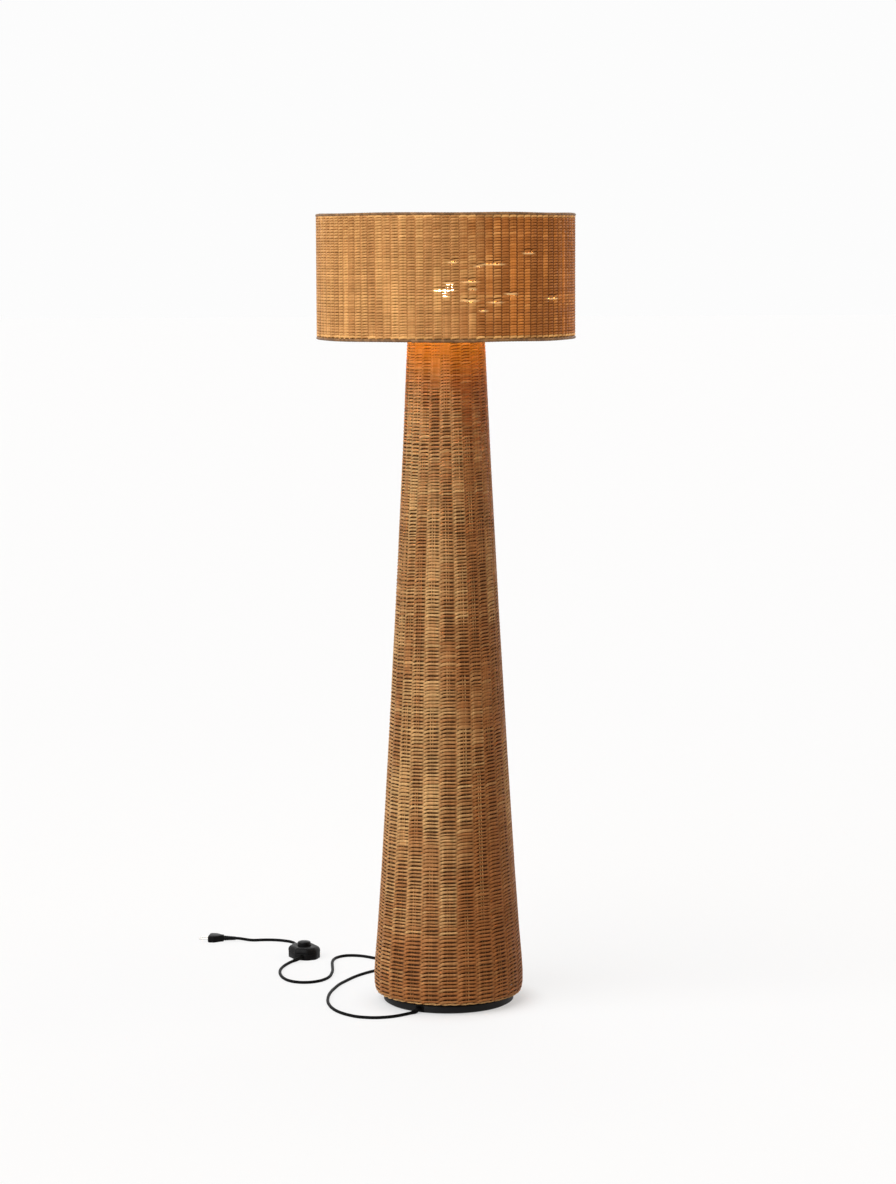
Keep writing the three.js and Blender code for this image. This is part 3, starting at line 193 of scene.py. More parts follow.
class Finish(Tree):
    """A material on one Principled shader."""

    def __init__(self, name, **plain):
        self.material = bpy.data.materials.new(name)
        self.material.use_nodes = True
        super().__init__(self.material.node_tree)
        self.shader = self.tree.nodes.new("ShaderNodeBsdfPrincipled")
        self.surface = Value(self, self.shader.outputs[0])
        self.end = self.node("ShaderNodeOutputMaterial", {}, {0: self.surface})
        for socket, value in plain.items():
            self.set(socket.replace("_", " ").title().replace("Ior", "IOR"), value)

    def set(self, socket, value):
        """A shader socket's plain value, or what varies it over the surface."""
        if isinstance(value, Value):
            self.tree.links.new(value.socket, self.shader.inputs[socket])
        else:
            self.shader.inputs[socket].default_value = value

    def tint(self, share, low, high, first, second):
        """The first colour where a value is low, the second where it is high."""
        self.set("Base Color", self.mix(self.stretch(share, low, high), first, second))

    def dull(self, share, low, high, first, second):
        """The first roughness where a value is low, the second where it is high."""
        self.set("Roughness", self.stretch(share, low, high, first, second))

    def relief(self, height, depth, strength):
        """Fine relief from a height between 0 and 1, as deep as a number of millimetres."""
        bump = {"Strength": strength, "Distance": depth * MM, "Height": height}
        self.set("Normal", self.node("ShaderNodeBump", {}, bump))


def woven_rattan(name, colours, deep=(0.12, 0.72), painted_mouth_light=0.0):
    """Split rattan: each strand its own tone, redder runs up the wall, fine fibres and painted shade in
    crevices.
    """
    finish = Finish(name, specular_ior_level=0.12, coat_roughness=0.4)
    tone, warm, lie = map(finish.attribute, ("tone", "warm", "lie"))
    fibre = finish.noise((90, 90, 2600), 3, 0.6)
    streak = finish.noise((14, 14, 190))
    grain = finish.noise((240, 240, 10), 2, 0.6)
    stain = finish.noise((60, 60, 40), 3, 0.7, shift=(3, 1, 7))
    colour = finish.mix(finish.stretch(tone, 0.0, 1.0), colours.rattan_pale, colours.rattan_mid)
    # Redder where the warm value is high: real redder runs, and also painted shade, which the walls add on
    # the side away from the key light and towards the column's foot.
    colour = finish.mix(finish.stretch(warm, 0.3, 0.95) * 0.75, colour, colours.rattan_red_and_side_shade)
    colour = finish.shaded(colour, finish.stretch(streak, 0.25, 0.75, 0.82, 1.1))
    colour = finish.shaded(colour, finish.stretch(fibre, 0.3, 0.62, 0.8, 1.05))
    colour = finish.shaded(colour, finish.stretch(grain, 0.34, 0.66, 0.84, 1.1))
    colour = finish.mix(finish.stretch(stain, 0.6, 0.8) * 0.35, colour, colours.rattan_stain_and_shade)
    # Painted light: where the hot value is high, the colour goes amber, for the bulb's light that falls on
    # the column's mouth.
    colour = finish.mix(finish.attribute("hot") * painted_mouth_light, colour, colours.painted_mouth_light)
    # Painted shade: the lower a strand's lie, the nearer its colour comes to the near-black brown of the
    # painted shade, within the deep range.
    crevice_shade = 1 - finish.stretch(lie, *deep)
    finish.set("Base Color", finish.mix(crevice_shade * 0.94, colour, colours.rattan_painted_shade))
    finish.dull(fibre, 0.2, 0.8, 0.66, 0.46)
    finish.set("Coat Weight", finish.stretch(streak, 0.4, 0.7, 0.0, 0.1))
    finish.relief(fibre + streak * 0.5, 0.25, 0.6)
    return finish


def rim_cane(name, colours):
    """Grey-brown cane wound over a rim, with painted shade between its turns."""
    finish = Finish(name, specular_ior_level=0.2)
    tone, lie = map(finish.attribute, ("tone", "lie"))
    fibre = finish.noise((700, 700, 900), 3, 0.6)
    patch = finish.noise(22, 3, 0.6)
    colour = finish.mix(finish.stretch(tone * 0.6 + patch * 0.6, 0.35, 0.95), colours.rim, colours.rim_pale)
    # Painted shade: darker where the cane sinks between its turns.
    colour = finish.mix(finish.stretch(lie, 0.5, 0.1) * 0.7, colour, colours.rattan_stain_and_shade)
    finish.set("Base Color", finish.shaded(colour, finish.stretch(fibre, 0.3, 0.65, 0.8, 1.05)))
    finish.dull(fibre, 0.3, 0.7, 0.6, 0.42)
    finish.relief(fibre, 0.2, 0.5)
    return finish


def black_iron(name, colour):
    """Powder coat on cast iron: fine orange peel, a few dull rubs."""
    finish = Finish(name, specular_ior_level=0.15)
    peel = finish.noise(900)
    rub = finish.noise((40, 40, 60), 4, 0.65)
    finish.tint(rub, 0.45, 0.8, colour, (0.01, 0.0095, 0.0095))
    finish.dull(rub, 0.3, 0.75, 0.46, 0.62)
    finish.relief(peel, 0.08, 0.5)
    return finish


def matt_plastic(name, colour, grain=1500.0, rough=0.5):
    """Moulded plastic with a fine spark-eroded texture and a little hand wear."""
    finish = Finish(name, specular_ior_level=0.08)
    texture = finish.noise(grain, 1)
    wear = finish.noise(55, 3, 0.6)
    finish.tint(wear, 0.5, 0.78, colour, [part * 1.5 + 0.003 for part in colour])
    finish.dull(wear, 0.35, 0.7, rough + 0.05, rough - 0.1)
    finish.relief(texture, 0.05, 0.45)
    return finish


def soft_rubber(name, colour):
    """The lead's rubber jacket: a slight bloom and faint drag marks."""
    finish = Finish(name, specular_ior_level=0.05)
    drag = finish.noise(260, 3, 0.6)
    bloom = finish.noise(24, 3, 0.6)
    finish.tint(bloom, 0.45, 0.8, colour, (0.006, 0.0058, 0.0058))
    finish.dull(drag, 0.3, 0.7, 0.5, 0.64)
    finish.relief(drag, 0.04, 0.4)
    return finish


def felt_pile(name, colour):
    """Pressed felt: short matted fibres."""
    finish = Finish(name, roughness=0.95, sheen_weight=0.3, sheen_roughness=0.5)
    pile = finish.noise(2200, 4, 0.7, 1.2)
    mat = finish.noise(90, 3)
    finish.tint(pile, 0.35, 0.7, colour, (0.045, 0.042, 0.036))
    finish.relief(pile + mat * 0.4, 0.3, 0.8)
    return finish


# The grey of bare steel
STEEL = (0.5, 0.51, 0.53)


def bare_metal(name, colour, rough):
    """Bare or plated metal with fine draw marks and a dull haze."""
    finish = Finish(name, metallic=1.0)
    marks = finish.noise((60, 60, 1800), 3, 0.6)
    haze = finish.noise(70, 4, 0.65)
    finish.tint(haze, 0.42, 0.75, colour, [part * 0.72 for part in colour])
    finish.dull(marks, 0.25, 0.75, rough - 0.06, rough + 0.14)
    finish.relief(marks, 0.03, 0.35)
    return finish


def coated_wire(name, colour):
    """Dull grey-brown paint on wire, thin in places."""
    finish = Finish(name, specular_ior_level=0.4)
    skin = finish.noise(400, 3, 0.6)
    patch = finish.noise(35, 4, 0.7)
    finish.tint(patch, 0.5, 0.75, colour, (0.2, 0.17, 0.14))
    finish.dull(skin, 0.3, 0.7, 0.38, 0.6)
    finish.relief(skin, 0.08, 0.4)
    return finish


def glazed_ceramic(name):
    """White steatite under a thin glaze, with iron specks."""
    finish = Finish(name, roughness=0.25, specular_ior_level=0.5)
    speck = finish.noise(900)
    body = finish.noise(120, 3)
    colour = finish.mix(finish.stretch(speck, 0.68, 0.78) * 0.6, (0.76, 0.72, 0.64), (0.35, 0.29, 0.22))
    finish.set("Base Color", colour)
    finish.relief(body, 0.06, 0.4)
    return finish


def lit_glass(name):
    """The bulb's glass with its light behind it, and a faint swirl in it."""
    finish = Finish(name, roughness=0.12, emission_strength=5.0)
    swirl = finish.noise((35, 35, 22), 3, 0.6)
    near = finish.noise(80)
    finish.set("Base Color", finish.mix(near, (1, 0.9, 0.75), (1, 0.95, 0.85)))
    light = finish.mix(finish.stretch(swirl, 0.3, 0.7), (1, 0.72, 0.42), (1, 0.86, 0.62))
    finish.set("Emission Color", light)
    finish.set("Alpha", finish.stretch(swirl, 0.2, 0.8, 0.62, 0.8))
    return finish


def lit_filament(name):
    """The bulb's glowing stem."""
    finish = Finish(name, roughness=0.4, emission_strength=14.0)
    coat = finish.noise(600)
    finish.set("Base Color", finish.mix(coat, (1, 0.72, 0.4), (1, 0.6, 0.25)))
    finish.set("Emission Color", finish.mix(coat, (1, 0.66, 0.3), (1, 0.8, 0.5)))
    return finish


# Making pieces


def linked(name, data):
    """A new object in the scene."""
    made = bpy.data.objects.new(name, data)
    bpy.context.scene.collection.objects.link(made)
    return made


def add_piece(name, data, finish, body, slot, *stands_for):
    """Links a finished shape as a piece, with its body, and hides the nodes that it stands for. The slot is
    not used.
    """
    data.materials.clear()
    data.materials.append(finish.material)
    piece = linked(name, data)
    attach(piece, body)
    if stands_for:
        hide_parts(*stands_for)
    return piece


def mesh_of(name, bm, smooth_angle=None):
    """A bmesh as a mesh, shaded smooth up to an angle."""
    mesh = bpy.data.meshes.new(name)
    bm.to_mesh(mesh)
    bm.free()
    mesh.shade_smooth()
    if smooth_angle:
        mesh.set_sharp_from_angle(angle=math.radians(smooth_angle))
    return mesh


def add_solid(name, bm, smooth_angle, finish, body, slot, *stands_for, place=Matrix()):
    """Puts a bmesh in its place, and links it as a piece that is shaded smooth up to an angle."""
    bmesh.ops.transform(bm, matrix=place, verts=bm.verts)
    return add_piece(name, mesh_of(name, bm, smooth_angle), finish, body, slot, *stands_for)


def evaluated(helper):
    """The mesh that a helper comes to, after which the helper and its data are gone."""
    name = helper.name
    graph = bpy.context.evaluated_depsgraph_get()
    made = bpy.data.meshes.new_from_object(helper.evaluated_get(graph))
    bpy.data.batch_remove([helper, helper.data])
    made.name = name
    return made


def repeated(name, bm, count, step):
    """Copies of a bmesh in a row, a step apart."""
    helper = linked(name, mesh_of(name, bm))
    row = helper.modifiers.new("row", "ARRAY")
    row.count = count
    row.use_relative_offset = False
    row.use_constant_offset = True
    row.constant_offset_displace = step
    return evaluated(helper)


def cut_by(name, bm, cutters):
    """A solid less a few other solids."""
    helper = linked(name, mesh_of(name, bm))
    tools = [linked(f"{name}_cutter", mesh_of(f"{name}_cutter", cutter)) for cutter in cutters]
    for tool in tools:
        cut = helper.modifiers.new("cut", "BOOLEAN")
        cut.object = tool
        cut.solver = "EXACT"
    made = evaluated(helper)
    bpy.data.batch_remove([*(tool.data for tool in tools), *tools])
    return made


def turned(profile, steps, closed=True):
    """A solid of revolution about Z. The profile's points are (radius, height) in millimetres."""
    bm = bmesh.new()
    points = [bm.verts.new((radius * MM, 0, height * MM)) for radius, height in profile]
    edges = [bm.edges.new(pair) for pair in zip(points, points[1:])]
    if closed and profile[0][0] > 0:
        edges.append(bm.edges.new((points[-1], points[0])))
    bmesh.ops.spin(bm, geom=points + edges, cent=(0, 0, 0), axis=(0, 0, 1), angle=FULL, steps=steps,
                   use_merge=True)
    bmesh.ops.remove_doubles(bm, verts=bm.verts, dist=0.01 * MM)
    bmesh.ops.recalc_face_normals(bm, faces=bm.faces)
    return bm


def round_wire(radius, level, thick, sides, steps, turns=1, rise=0.0):
    """A round wire about Z: a closed ring, or where it rises a coil with closed ends."""
    bm = bmesh.new()
    upright = Matrix.Translation((radius, 0, level)) @ Matrix.Rotation(math.pi / 2, 4, "X")
    bmesh.ops.create_circle(bm, cap_ends=False, radius=thick, segments=sides, matrix=upright)
    bmesh.ops.spin(bm, geom=bm.verts[:] + bm.edges[:], cent=(0, 0, 0), axis=(0, 0, 1),
                   dvec=(0, 0, rise / steps), angle=turns * FULL, steps=steps, use_merge=not rise)
    if rise:
        bmesh.ops.holes_fill(bm, edges=bm.edges, sides=sides)
    bmesh.ops.recalc_face_normals(bm, faces=bm.faces)
    return bm


def corners_in(made):
    """The corners among what an operator has made."""
    return [item for item in made["geom"] if isinstance(item, bmesh.types.BMVert)]


def prism(outline, low, high):
    """An upright prism on an outline of (x, y) in millimetres."""
    bm = bmesh.new()
    face = bm.faces.new([bm.verts.new((x * MM, y * MM, low * MM)) for x, y in outline])
    made = bmesh.ops.extrude_face_region(bm, geom=[face])
    bmesh.ops.translate(bm, verts=corners_in(made), vec=(0, 0, (high - low) * MM))
    bmesh.ops.recalc_face_normals(bm, faces=bm.faces)
    return bm


def cylinder(low_radius, high_radius, depth, sides, place):
    """A round cutter about its middle, with its sizes in millimetres."""
    bm = bmesh.new()
    bmesh.ops.create_cone(bm, cap_ends=True, segments=sides, radius1=low_radius * MM,
                          radius2=high_radius * MM, depth=depth * MM, matrix=place)
    return bm


def sharp_edges(bm):
    """The edges that turn by more than a radian."""
    return [edge for edge in bm.edges if edge.is_manifold and edge.calc_face_angle() > 1]


def climbing_edges(bm, least=1.0):
    """The edges that climb more than a number of millimetres."""
    return [edge for edge in bm.edges if abs(edge.verts[0].co.z - edge.verts[1].co.z) > least * MM]


def round_off(bm, edges, offset, segments):
    """Rounds edges by a number of millimetres."""
    bmesh.ops.bevel(bm, geom=edges, offset=offset * MM, segments=segments, profile=0.5, affect="EDGES",
                    material=-1)


def curve_of(name, points, diameter, smoothness, sides, widths=None):
    """A round curve on one open spline through points in millimetres."""
    curve = bpy.data.curves.new(name, "CURVE")
    curve.dimensions = "3D"
    curve.resolution_u = smoothness
    curve.bevel_depth = diameter / 2
    curve.bevel_resolution = sides
    curve.use_fill_caps = True
    spline = curve.splines.new("BEZIER")
    spline.bezier_points.add(len(points) - 1)
    for knot, point, width in zip(spline.bezier_points, points, widths or [1] * len(points)):
        knot.co = Vector(point) * MM
        knot.handle_left_type = "AUTO"
        knot.handle_right_type = "AUTO"
        knot.radius = width
    return curve


# Strands: straight copies of one section are spun and repeated, then laid along the wall

UNIT = 1.0
SECTION = 0.2
SPACING = 1.0


def strand_rings(name, count, steps, sides):
    """Equal rings up the Z axis, one for each strand."""
    return repeated(name, round_wire(UNIT, 0, SECTION, sides, steps), count, (0, 0, SPACING))


def straight_rods(name, count, steps, sides):
    """Equal upright rods of unit height along X, one for each stake."""
    bm = bmesh.new()
    bmesh.ops.create_circle(bm, cap_ends=False, radius=SECTION, segments=sides)
    rim = bm.edges[:]
    for _ in range(steps):
        made = bmesh.ops.extrude_edge_only(bm, edges=rim)
        raised = set(corners_in(made))
        rim = [
            item for item in made["geom"]
            if isinstance(item, bmesh.types.BMEdge) and raised.issuperset(item.verts)
        ]
        bmesh.ops.translate(bm, verts=list(raised), vec=(0, 0, 1 / steps))
    bmesh.ops.holes_fill(bm, edges=bm.edges, sides=sides)
    bmesh.ops.recalc_face_normals(bm, faces=bm.faces)
    return repeated(name, bm, count, (SPACING, 0, 0))


def corners_of(mesh):
    points = np.empty(len(mesh.vertices) * 3, np.float32)
    mesh.vertices.foreach_get("co", points)
    return points.reshape(-1, 3).astype(float).T


def set_corners(mesh, x, y, z, **values):
    """Puts the corners in place, and keeps a value of each kind at every corner."""
    mesh.vertices.foreach_set("co", np.stack([x, y, z], 1).astype(np.float32).ravel())
    for name, value in values.items():
        made = mesh.attributes.new(name, "FLOAT", "POINT")
        made.data.foreach_set("value", np.clip(value, 0, 1).astype(np.float32))
    mesh.update()
    mesh.shade_smooth()


def lay_rings(mesh, place):
    """Lays ring strands by a rule from turn, strand and section to turn, radius, height and values."""
    x, y, z = corners_of(mesh)
    strand = np.rint(z / SPACING).astype(int)
    outward = (np.hypot(x, y) - UNIT) / SECTION
    upward = (z - strand * SPACING) / SECTION
    turn, radius, height, values = place(np.arctan2(y, x), strand, outward, upward)
    set_corners(mesh, radius * np.cos(turn), radius * np.sin(turn), height, **values)


def lay_rods(mesh, place):
    """Lays upright rods by a rule from rod, height share and section to turn, radius, height and values."""
    x, y, z = corners_of(mesh)
    rod = np.rint(x / SPACING).astype(int)
    aside = (x - rod * SPACING) / SECTION
    turn, radius, height, values = place(rod, z, aside, y / SECTION)
    set_corners(mesh, radius * np.cos(turn), radius * np.sin(turn), height, **values)


def ripple(turn, height, seed, around=9, climb=14, waves=6):
    """A smooth irregular wave round and up the wall, about -1 to 1, that closes on itself."""
    rng = np.random.default_rng(seed)
    total = 0
    for _ in range(waves):
        turns = rng.integers(1, around)
        rise = rng.uniform(-climb, climb)
        total = total + np.sin(turns * turn + rise * height + rng.uniform(0, FULL))
    return total / math.sqrt(waves)


def row_levels(low, high, count, spread, seed, growth=0.0):
    """Uneven row heights that fill the wall, wider towards its foot: the middle and the pitch of each row."""
    rng = np.random.default_rng(seed)
    pitches = rng.normal(1, spread, count).clip(1 - 2 * spread, 1 + 2 * spread)
    pitches *= np.linspace(1 + growth, 1 - growth, count)
    pitches *= (high - low) / pitches.sum()
    edges = low + np.concatenate([[0], np.cumsum(pitches)])
    return (edges[:-1] + edges[1:]) / 2, pitches


def strand_tones(turn, strand, count, seed):
    """A tone for each strand that drifts along it: 0 is pale. A few strands are paler than the rest."""
    rng = np.random.default_rng(seed)
    base = rng.beta(2.4, 2.4, count)
    base[rng.uniform(0, 1, count) < 0.1] -= 0.5
    base = base[strand]
    turns = rng.integers(1, 6, count)[strand]
    shift = rng.uniform(0, FULL, count)[strand]
    return base + 0.12 * np.sin(turns * turn + shift) + 0.08 * np.sin((turns + 7) * turn + 2 * shift)


def smooth(value, low, high):
    """0 below a range, 1 above it, and a soft step in it."""
    share = np.clip((value - low) / (high - low), 0, 1)
    return share * share * (3 - 2 * share)


def right_side(turn):
    """1 on the side to the right of the front, away from the key light, where the walls paint shade; 0 on the
    left.
    """
    return smooth(np.cos(turn), -0.1, 0.55)


class TwinedWall:
    """A wall of twined pairs: in each row one strand is in front of a stake as the other is behind it.

    A wall has its own middle, stray, drift, ease, swell, front_half and tones. Every draw has its own seed.
    """

    # How quickly a strand goes from front to back, and how far the crossings bunch between the stakes
    sharp = 2.5
    bunch = 0.3

    # Half a strand's height as a share of its row's: between the stakes, behind them and where strands cross
    closed = 0.275
    behind = 0.4
    swap = 0.02

    # Where a strand goes over from one to the other, as a share of the way from a seam to a stake
    gap = (0.2, 0.65)

    # How much thinner a strand is where it crosses the other
    flat = 0.0

    def __init__(self, stakes, steps, levels, pitches):
        self.stakes = stakes
        self.steps = steps
        self.levels = levels
        self.pitches = pitches

    def runs(self, stake, height, seed, length):
        """A value for each stake that keeps for a run of rows and then changes."""
        rng = np.random.default_rng(seed)
        table = rng.uniform(0, 1, (self.stakes, 64))
        at = height / length + rng.uniform(0, 1, self.stakes)[stake]
        run = np.floor(at).astype(int) % 63
        blend = np.clip((at - np.floor(at) - 0.88) / 0.12, 0, 1)
        return table[stake, run] * (1 - blend) + table[stake, run + 1] * blend

    def cover(self, turn, row):
        """How far the strands of a row lie over each other: less than 1 opens the wall there."""
        return 1.0

    def slit(self, turn, row):
        """How far the strands beside a slit are narrowed, and to which side they give way."""
        return 0.0, 0.0

    def less_crevice_shade(self, turn):
        """How much less the painted shade in the crevices darkens."""
        return 0.0

    def rule(self, first):
        """How the strands from a first row on are laid."""

        def place(turn, strand, outward, upward):
            row = first + strand // 2
            level, pitch = self.levels[row], self.pitches[row]
            even = self.stakes / 2 * turn
            phase = even + self.bunch * np.sin(2 * even)
            turn = phase * 2 / self.stakes - self.stray(turn, level)
            side = phase + math.pi * (strand % 2)
            front = np.tanh(self.sharp * np.cos(side)) / math.tanh(self.sharp)
            cross = 1 - front ** 2
            cover = self.cover(turn, row)
            lift = (front * cover + np.sin(side) * cross) / 4
            closed = self.closed + np.abs(np.abs(lift) - 0.25) * cover
            stake = np.rint(phase / math.pi).astype(int) % self.stakes
            seam = np.floor(phase / math.pi).astype(int) % self.stakes
            part = smooth(np.abs(np.cos(side)) + self.ease(turn, seam, level), *self.gap)
            seen = self.front_half(turn, level, row, stake)
            seen = np.where(front > 0, seen, seen + (self.behind - seen) * cover)
            half = closed * (1 - part) + seen * part
            half += (0.1 * np.sqrt(np.maximum(0, -front)) + self.swap * cross) * cover
            thin, away = self.slit(turn, row)
            lost = half * thin * part
            rise = pitch * (lift + away * lost + (half - lost) * upward)
            height = level + self.drift(turn, level) + rise
            section = self.thick * (1 - self.flat * cross) * outward
            depth = self.depth * front + self.swell(seam, turn) * cross + section
            values = self.tones(turn, strand + 2 * first, row, stake, height, side)
            # The lie: how near a place is to either face of the wall. The finish paints shade where it is
            # low.
            values["lie"] = np.abs(depth) / (self.depth + self.thick) + self.less_crevice_shade(turn)
            return turn, self.middle(height) + depth, height, values

        return place

    def weave(self, name, bands, finish, body, node):
        """Weaves the wall in bands of rows, each its own piece."""
        rows = len(self.levels)
        share = math.ceil(rows / bands)
        for band in range(bands):
            first, last = band * share, min(rows, (band + 1) * share)
            mesh = strand_rings(f"{name}_{band + 1}", 2 * (last - first), self.stakes * self.steps, sides=6)
            lay_rings(mesh, self.rule(first))
            add_piece(mesh.name, mesh, finish, body, "rattan", *([node] if band == 0 else []))


def size_property(label, description, millimetres):
    return FloatProperty(name=label, description=description, default=millimetres * MM, unit="LENGTH")


def count_property(label, description, count):
    return IntProperty(name=label, description=description, default=count, min=8)


def colour_property(label, description, colour):
    return FloatVectorProperty(name=label, description=description, default=colour, subtype="COLOR", size=3,
                               min=0, max=1)


class LampSizes(bpy.types.PropertyGroup):
    """Sizes of the weave and the lead."""

    column_stakes: count_property("Column stakes", "Stakes round the column", 24)
    column_pitch: size_property("Column pitch", "Height of one twined pair", 6.5)
    column_wander: size_property("Stake wander", "How far a stake strays along the wall", 2.4)
    stake_width: size_property("Stake width", "Width of a column stake", 4.4)
    shade_stakes: count_property("Shade stakes", "Stakes round the shade", 96)
    shade_pitch: size_property("Shade pitch", "Height of one row of the shade", 5.15)
    rim_wrap: size_property("Rim wrap", "Width of one turn of the cane round a rim", 6)
    lead_diameter: size_property("Lead diameter", "Outside diameter of the lead", 6)


class LampColours(bpy.types.PropertyGroup):
    """Colours of the lamp's finishes."""

    rattan_pale: colour_property("Pale rattan", "The lightest strands", (0.65, 0.375, 0.15))
    rattan_mid: colour_property("Mid rattan", "The common strands", (0.45, 0.2, 0.069))
    # Also painted shade: the walls turn the side away from the key light, and the column's foot, towards this
    # colour.
    rattan_red_and_side_shade: colour_property("Red rattan", "The redder runs", (0.32, 0.107, 0.027))
    # Real stains and nodes, and also the painted shade between a rim's turns.
    rattan_stain_and_shade: colour_property("Dark rattan", "Stains and nodes", (0.17, 0.07, 0.025))
    # Painted shade: the near-black brown painted into the bottoms of the crevices.
    rattan_painted_shade: colour_property("Deep rattan", "The bottoms of the crevices", (0.04, 0.013, 0.003))
    # Painted light: the amber colour of the bulb's light on the column's mouth.
    painted_mouth_light: colour_property("Amber rattan", "Strands of the column's mouth", (0.55, 0.25, 0.02))
    rim: colour_property("Rim cane", "The wrapped rims", (0.2, 0.105, 0.045))
    rim_pale: colour_property("Pale rim cane", "Lighter turns of the rims", (0.36, 0.19, 0.08))
    iron: colour_property("Base", "The cast base's coat", (0.005, 0.0047, 0.0047))
    wire: colour_property("Wire", "The frame's coat", (0.11, 0.09, 0.075))
    plastic: colour_property("Plastic", "The switch and the holder", (0.0045, 0.0042, 0.0044))
    rubber: colour_property("Rubber", "The lead and the plug", (0.0022, 0.0022, 0.0022))
    felt: colour_property("Felt", "The pad under the base", (0.02, 0.019, 0.016))
    glow: colour_property("Glow", "The light of the bulb", (1.0, 0.78, 0.38))
    through: colour_property("Light through", "Light that comes through the shade", (0.22, 0.1, 0.024))
    through_deep: colour_property("Deep light through", "The same where it is red", (0.22, 0.06, 0.003))
    bright: colour_property("Bright light through", "Light through the slits' edges", (0.95, 0.66, 0.3))
    mouth_glow: colour_property("Mouth glow", "Light in the column's mouth", (0.11, 0.037, 0.001))


# Stage

# The camera as fitted to the photograph: its focus in pixels, its place in metres, its turns in radians
PHOTO_HEIGHT = 1184
FOCUS = 3127.3
SENSOR = 36
CAMERA_AT = (0, -5.8967, 1.4365)
CAMERA_DOWN = 0.1097
CAMERA_ASIDE = -0.0003
CAMERA_ROLL = -0.0039

# The floor's light where the camera looks, its share near the lamp and far from it, and where it changes
FLOOR_LIGHT = 0.985
FLOOR_SHARES = (0.45, 0.8)
FLOOR_CHANGE = (0.13, 0.2)

# The world's light on the lamp, and behind it
FILL_LIGHT = 0.23
FILL_COLOUR = (1, 0.95, 0.88, 1)
BACKDROP_LIGHT = 0.975

# The soft suns: the way they shine, their strength, their angle in degrees and their colour
SUNS = {
    "key": ((0.66, 0.62, -0.66), 2.9, 65, (1, 1, 1)),
    "back": ((-0.1, -0.85, -0.5), 0.9, 70, (1, 1, 1)),
    "side": ((-0.8, 0.1, -0.4), 0.7, 60, (1, 0.72, 0.5)),
}


class LAMP_OT_stage(bpy.types.Operator):
    """Sets the pale floor, the soft light and the camera"""

    bl_idname = "rattan_lamp.stage"
    bl_label = "Stage"

    def execute(self, context):
        scene = context.scene
        scene.view_settings.view_transform = "Standard"
        self.camera(scene)
        self.floor()
        self.world(scene)
        self.suns()
        return {"FINISHED"}

    def camera(self, scene):
        data = bpy.data.cameras.new("camera")
        data.sensor_width = SENSOR
        data.lens = SENSOR * FOCUS / PHOTO_HEIGHT
        data.clip_end = 100
        camera = linked("camera", data)
        camera.matrix_world = (
            Matrix.Translation(CAMERA_AT) @ Matrix.Rotation(CAMERA_ASIDE, 4, "Z")
            @ Matrix.Rotation(math.pi / 2 - CAMERA_DOWN, 4, "X") @ Matrix.Rotation(CAMERA_ROLL, 4, "Z")
        )
        scene.camera = camera

    def floor(self):
        """A pale floor that keeps its shadow, and looks white from afar."""
        bm = bmesh.new()
        bmesh.ops.create_grid(bm, x_segments=8, y_segments=8, size=60)
        finish = Finish("stage_floor", roughness=0.8, specular_ior_level=0.1)
        patch = finish.noise(1.5)
        seen = self.seen(finish)
        plain = finish.mix(patch * 0.1, (0.92, 0.93, 0.95), (0.89, 0.9, 0.915))
        finish.set("Base Color", finish.mix(seen, (0.45, 0.45, 0.45), plain))
        light = finish.node("ShaderNodeEmission", {}, {"Color": (1, 1, 1, 1), "Strength": FLOOR_LIGHT})
        reach = finish.node("ShaderNodeVectorMath", {"operation": "LENGTH"}, {0: finish.place()}, 1)
        share = seen * finish.stretch(reach, *FLOOR_CHANGE, *FLOOR_SHARES)
        mixed = finish.node("ShaderNodeMixShader", {}, {0: share, 1: finish.surface, 2: light})
        finish.tree.links.new(mixed.socket, finish.end.inputs[0])
        mesh = mesh_of("stage_floor", bm)
        mesh.materials.append(finish.material)
        linked("stage_floor", mesh)

    def seen(self, tree):
        """1 where the camera, a gloss or a glass looks."""
        camera, gloss, clear = [
            tree.node("ShaderNodeLightPath", output=f"Is {kind} Ray")
            for kind in ("Camera", "Glossy", "Transmission")
        ]
        return tree.stretch(camera + gloss + clear, 0.0, 1.0)

    def world(self, scene):
        """A soft fill, with white behind the object."""
        world = bpy.data.worlds.new("studio")
        world.use_nodes = True
        scene.world = world
        tree = Tree(world.node_tree)
        fill = tree.node("ShaderNodeBackground", {}, {"Color": FILL_COLOUR, "Strength": FILL_LIGHT})
        white = tree.node("ShaderNodeBackground", {}, {"Color": (1, 1, 1, 1), "Strength": BACKDROP_LIGHT})
        mixed = tree.node("ShaderNodeMixShader", {}, {0: self.seen(tree), 1: fill, 2: white})
        tree.node("ShaderNodeOutputWorld", {}, {0: mixed})

    def suns(self):
        for name, (way, strength, angle, colour) in SUNS.items():
            data = bpy.data.lights.new(name, "SUN")
            data.energy = strength
            data.color = colour
            data.angle = math.radians(angle)
            sun = linked(name, data)
            sun.rotation_mode = "QUATERNION"
            sun.rotation_quaternion = Vector(way).to_track_quat("-Z", "Y")


# Lead

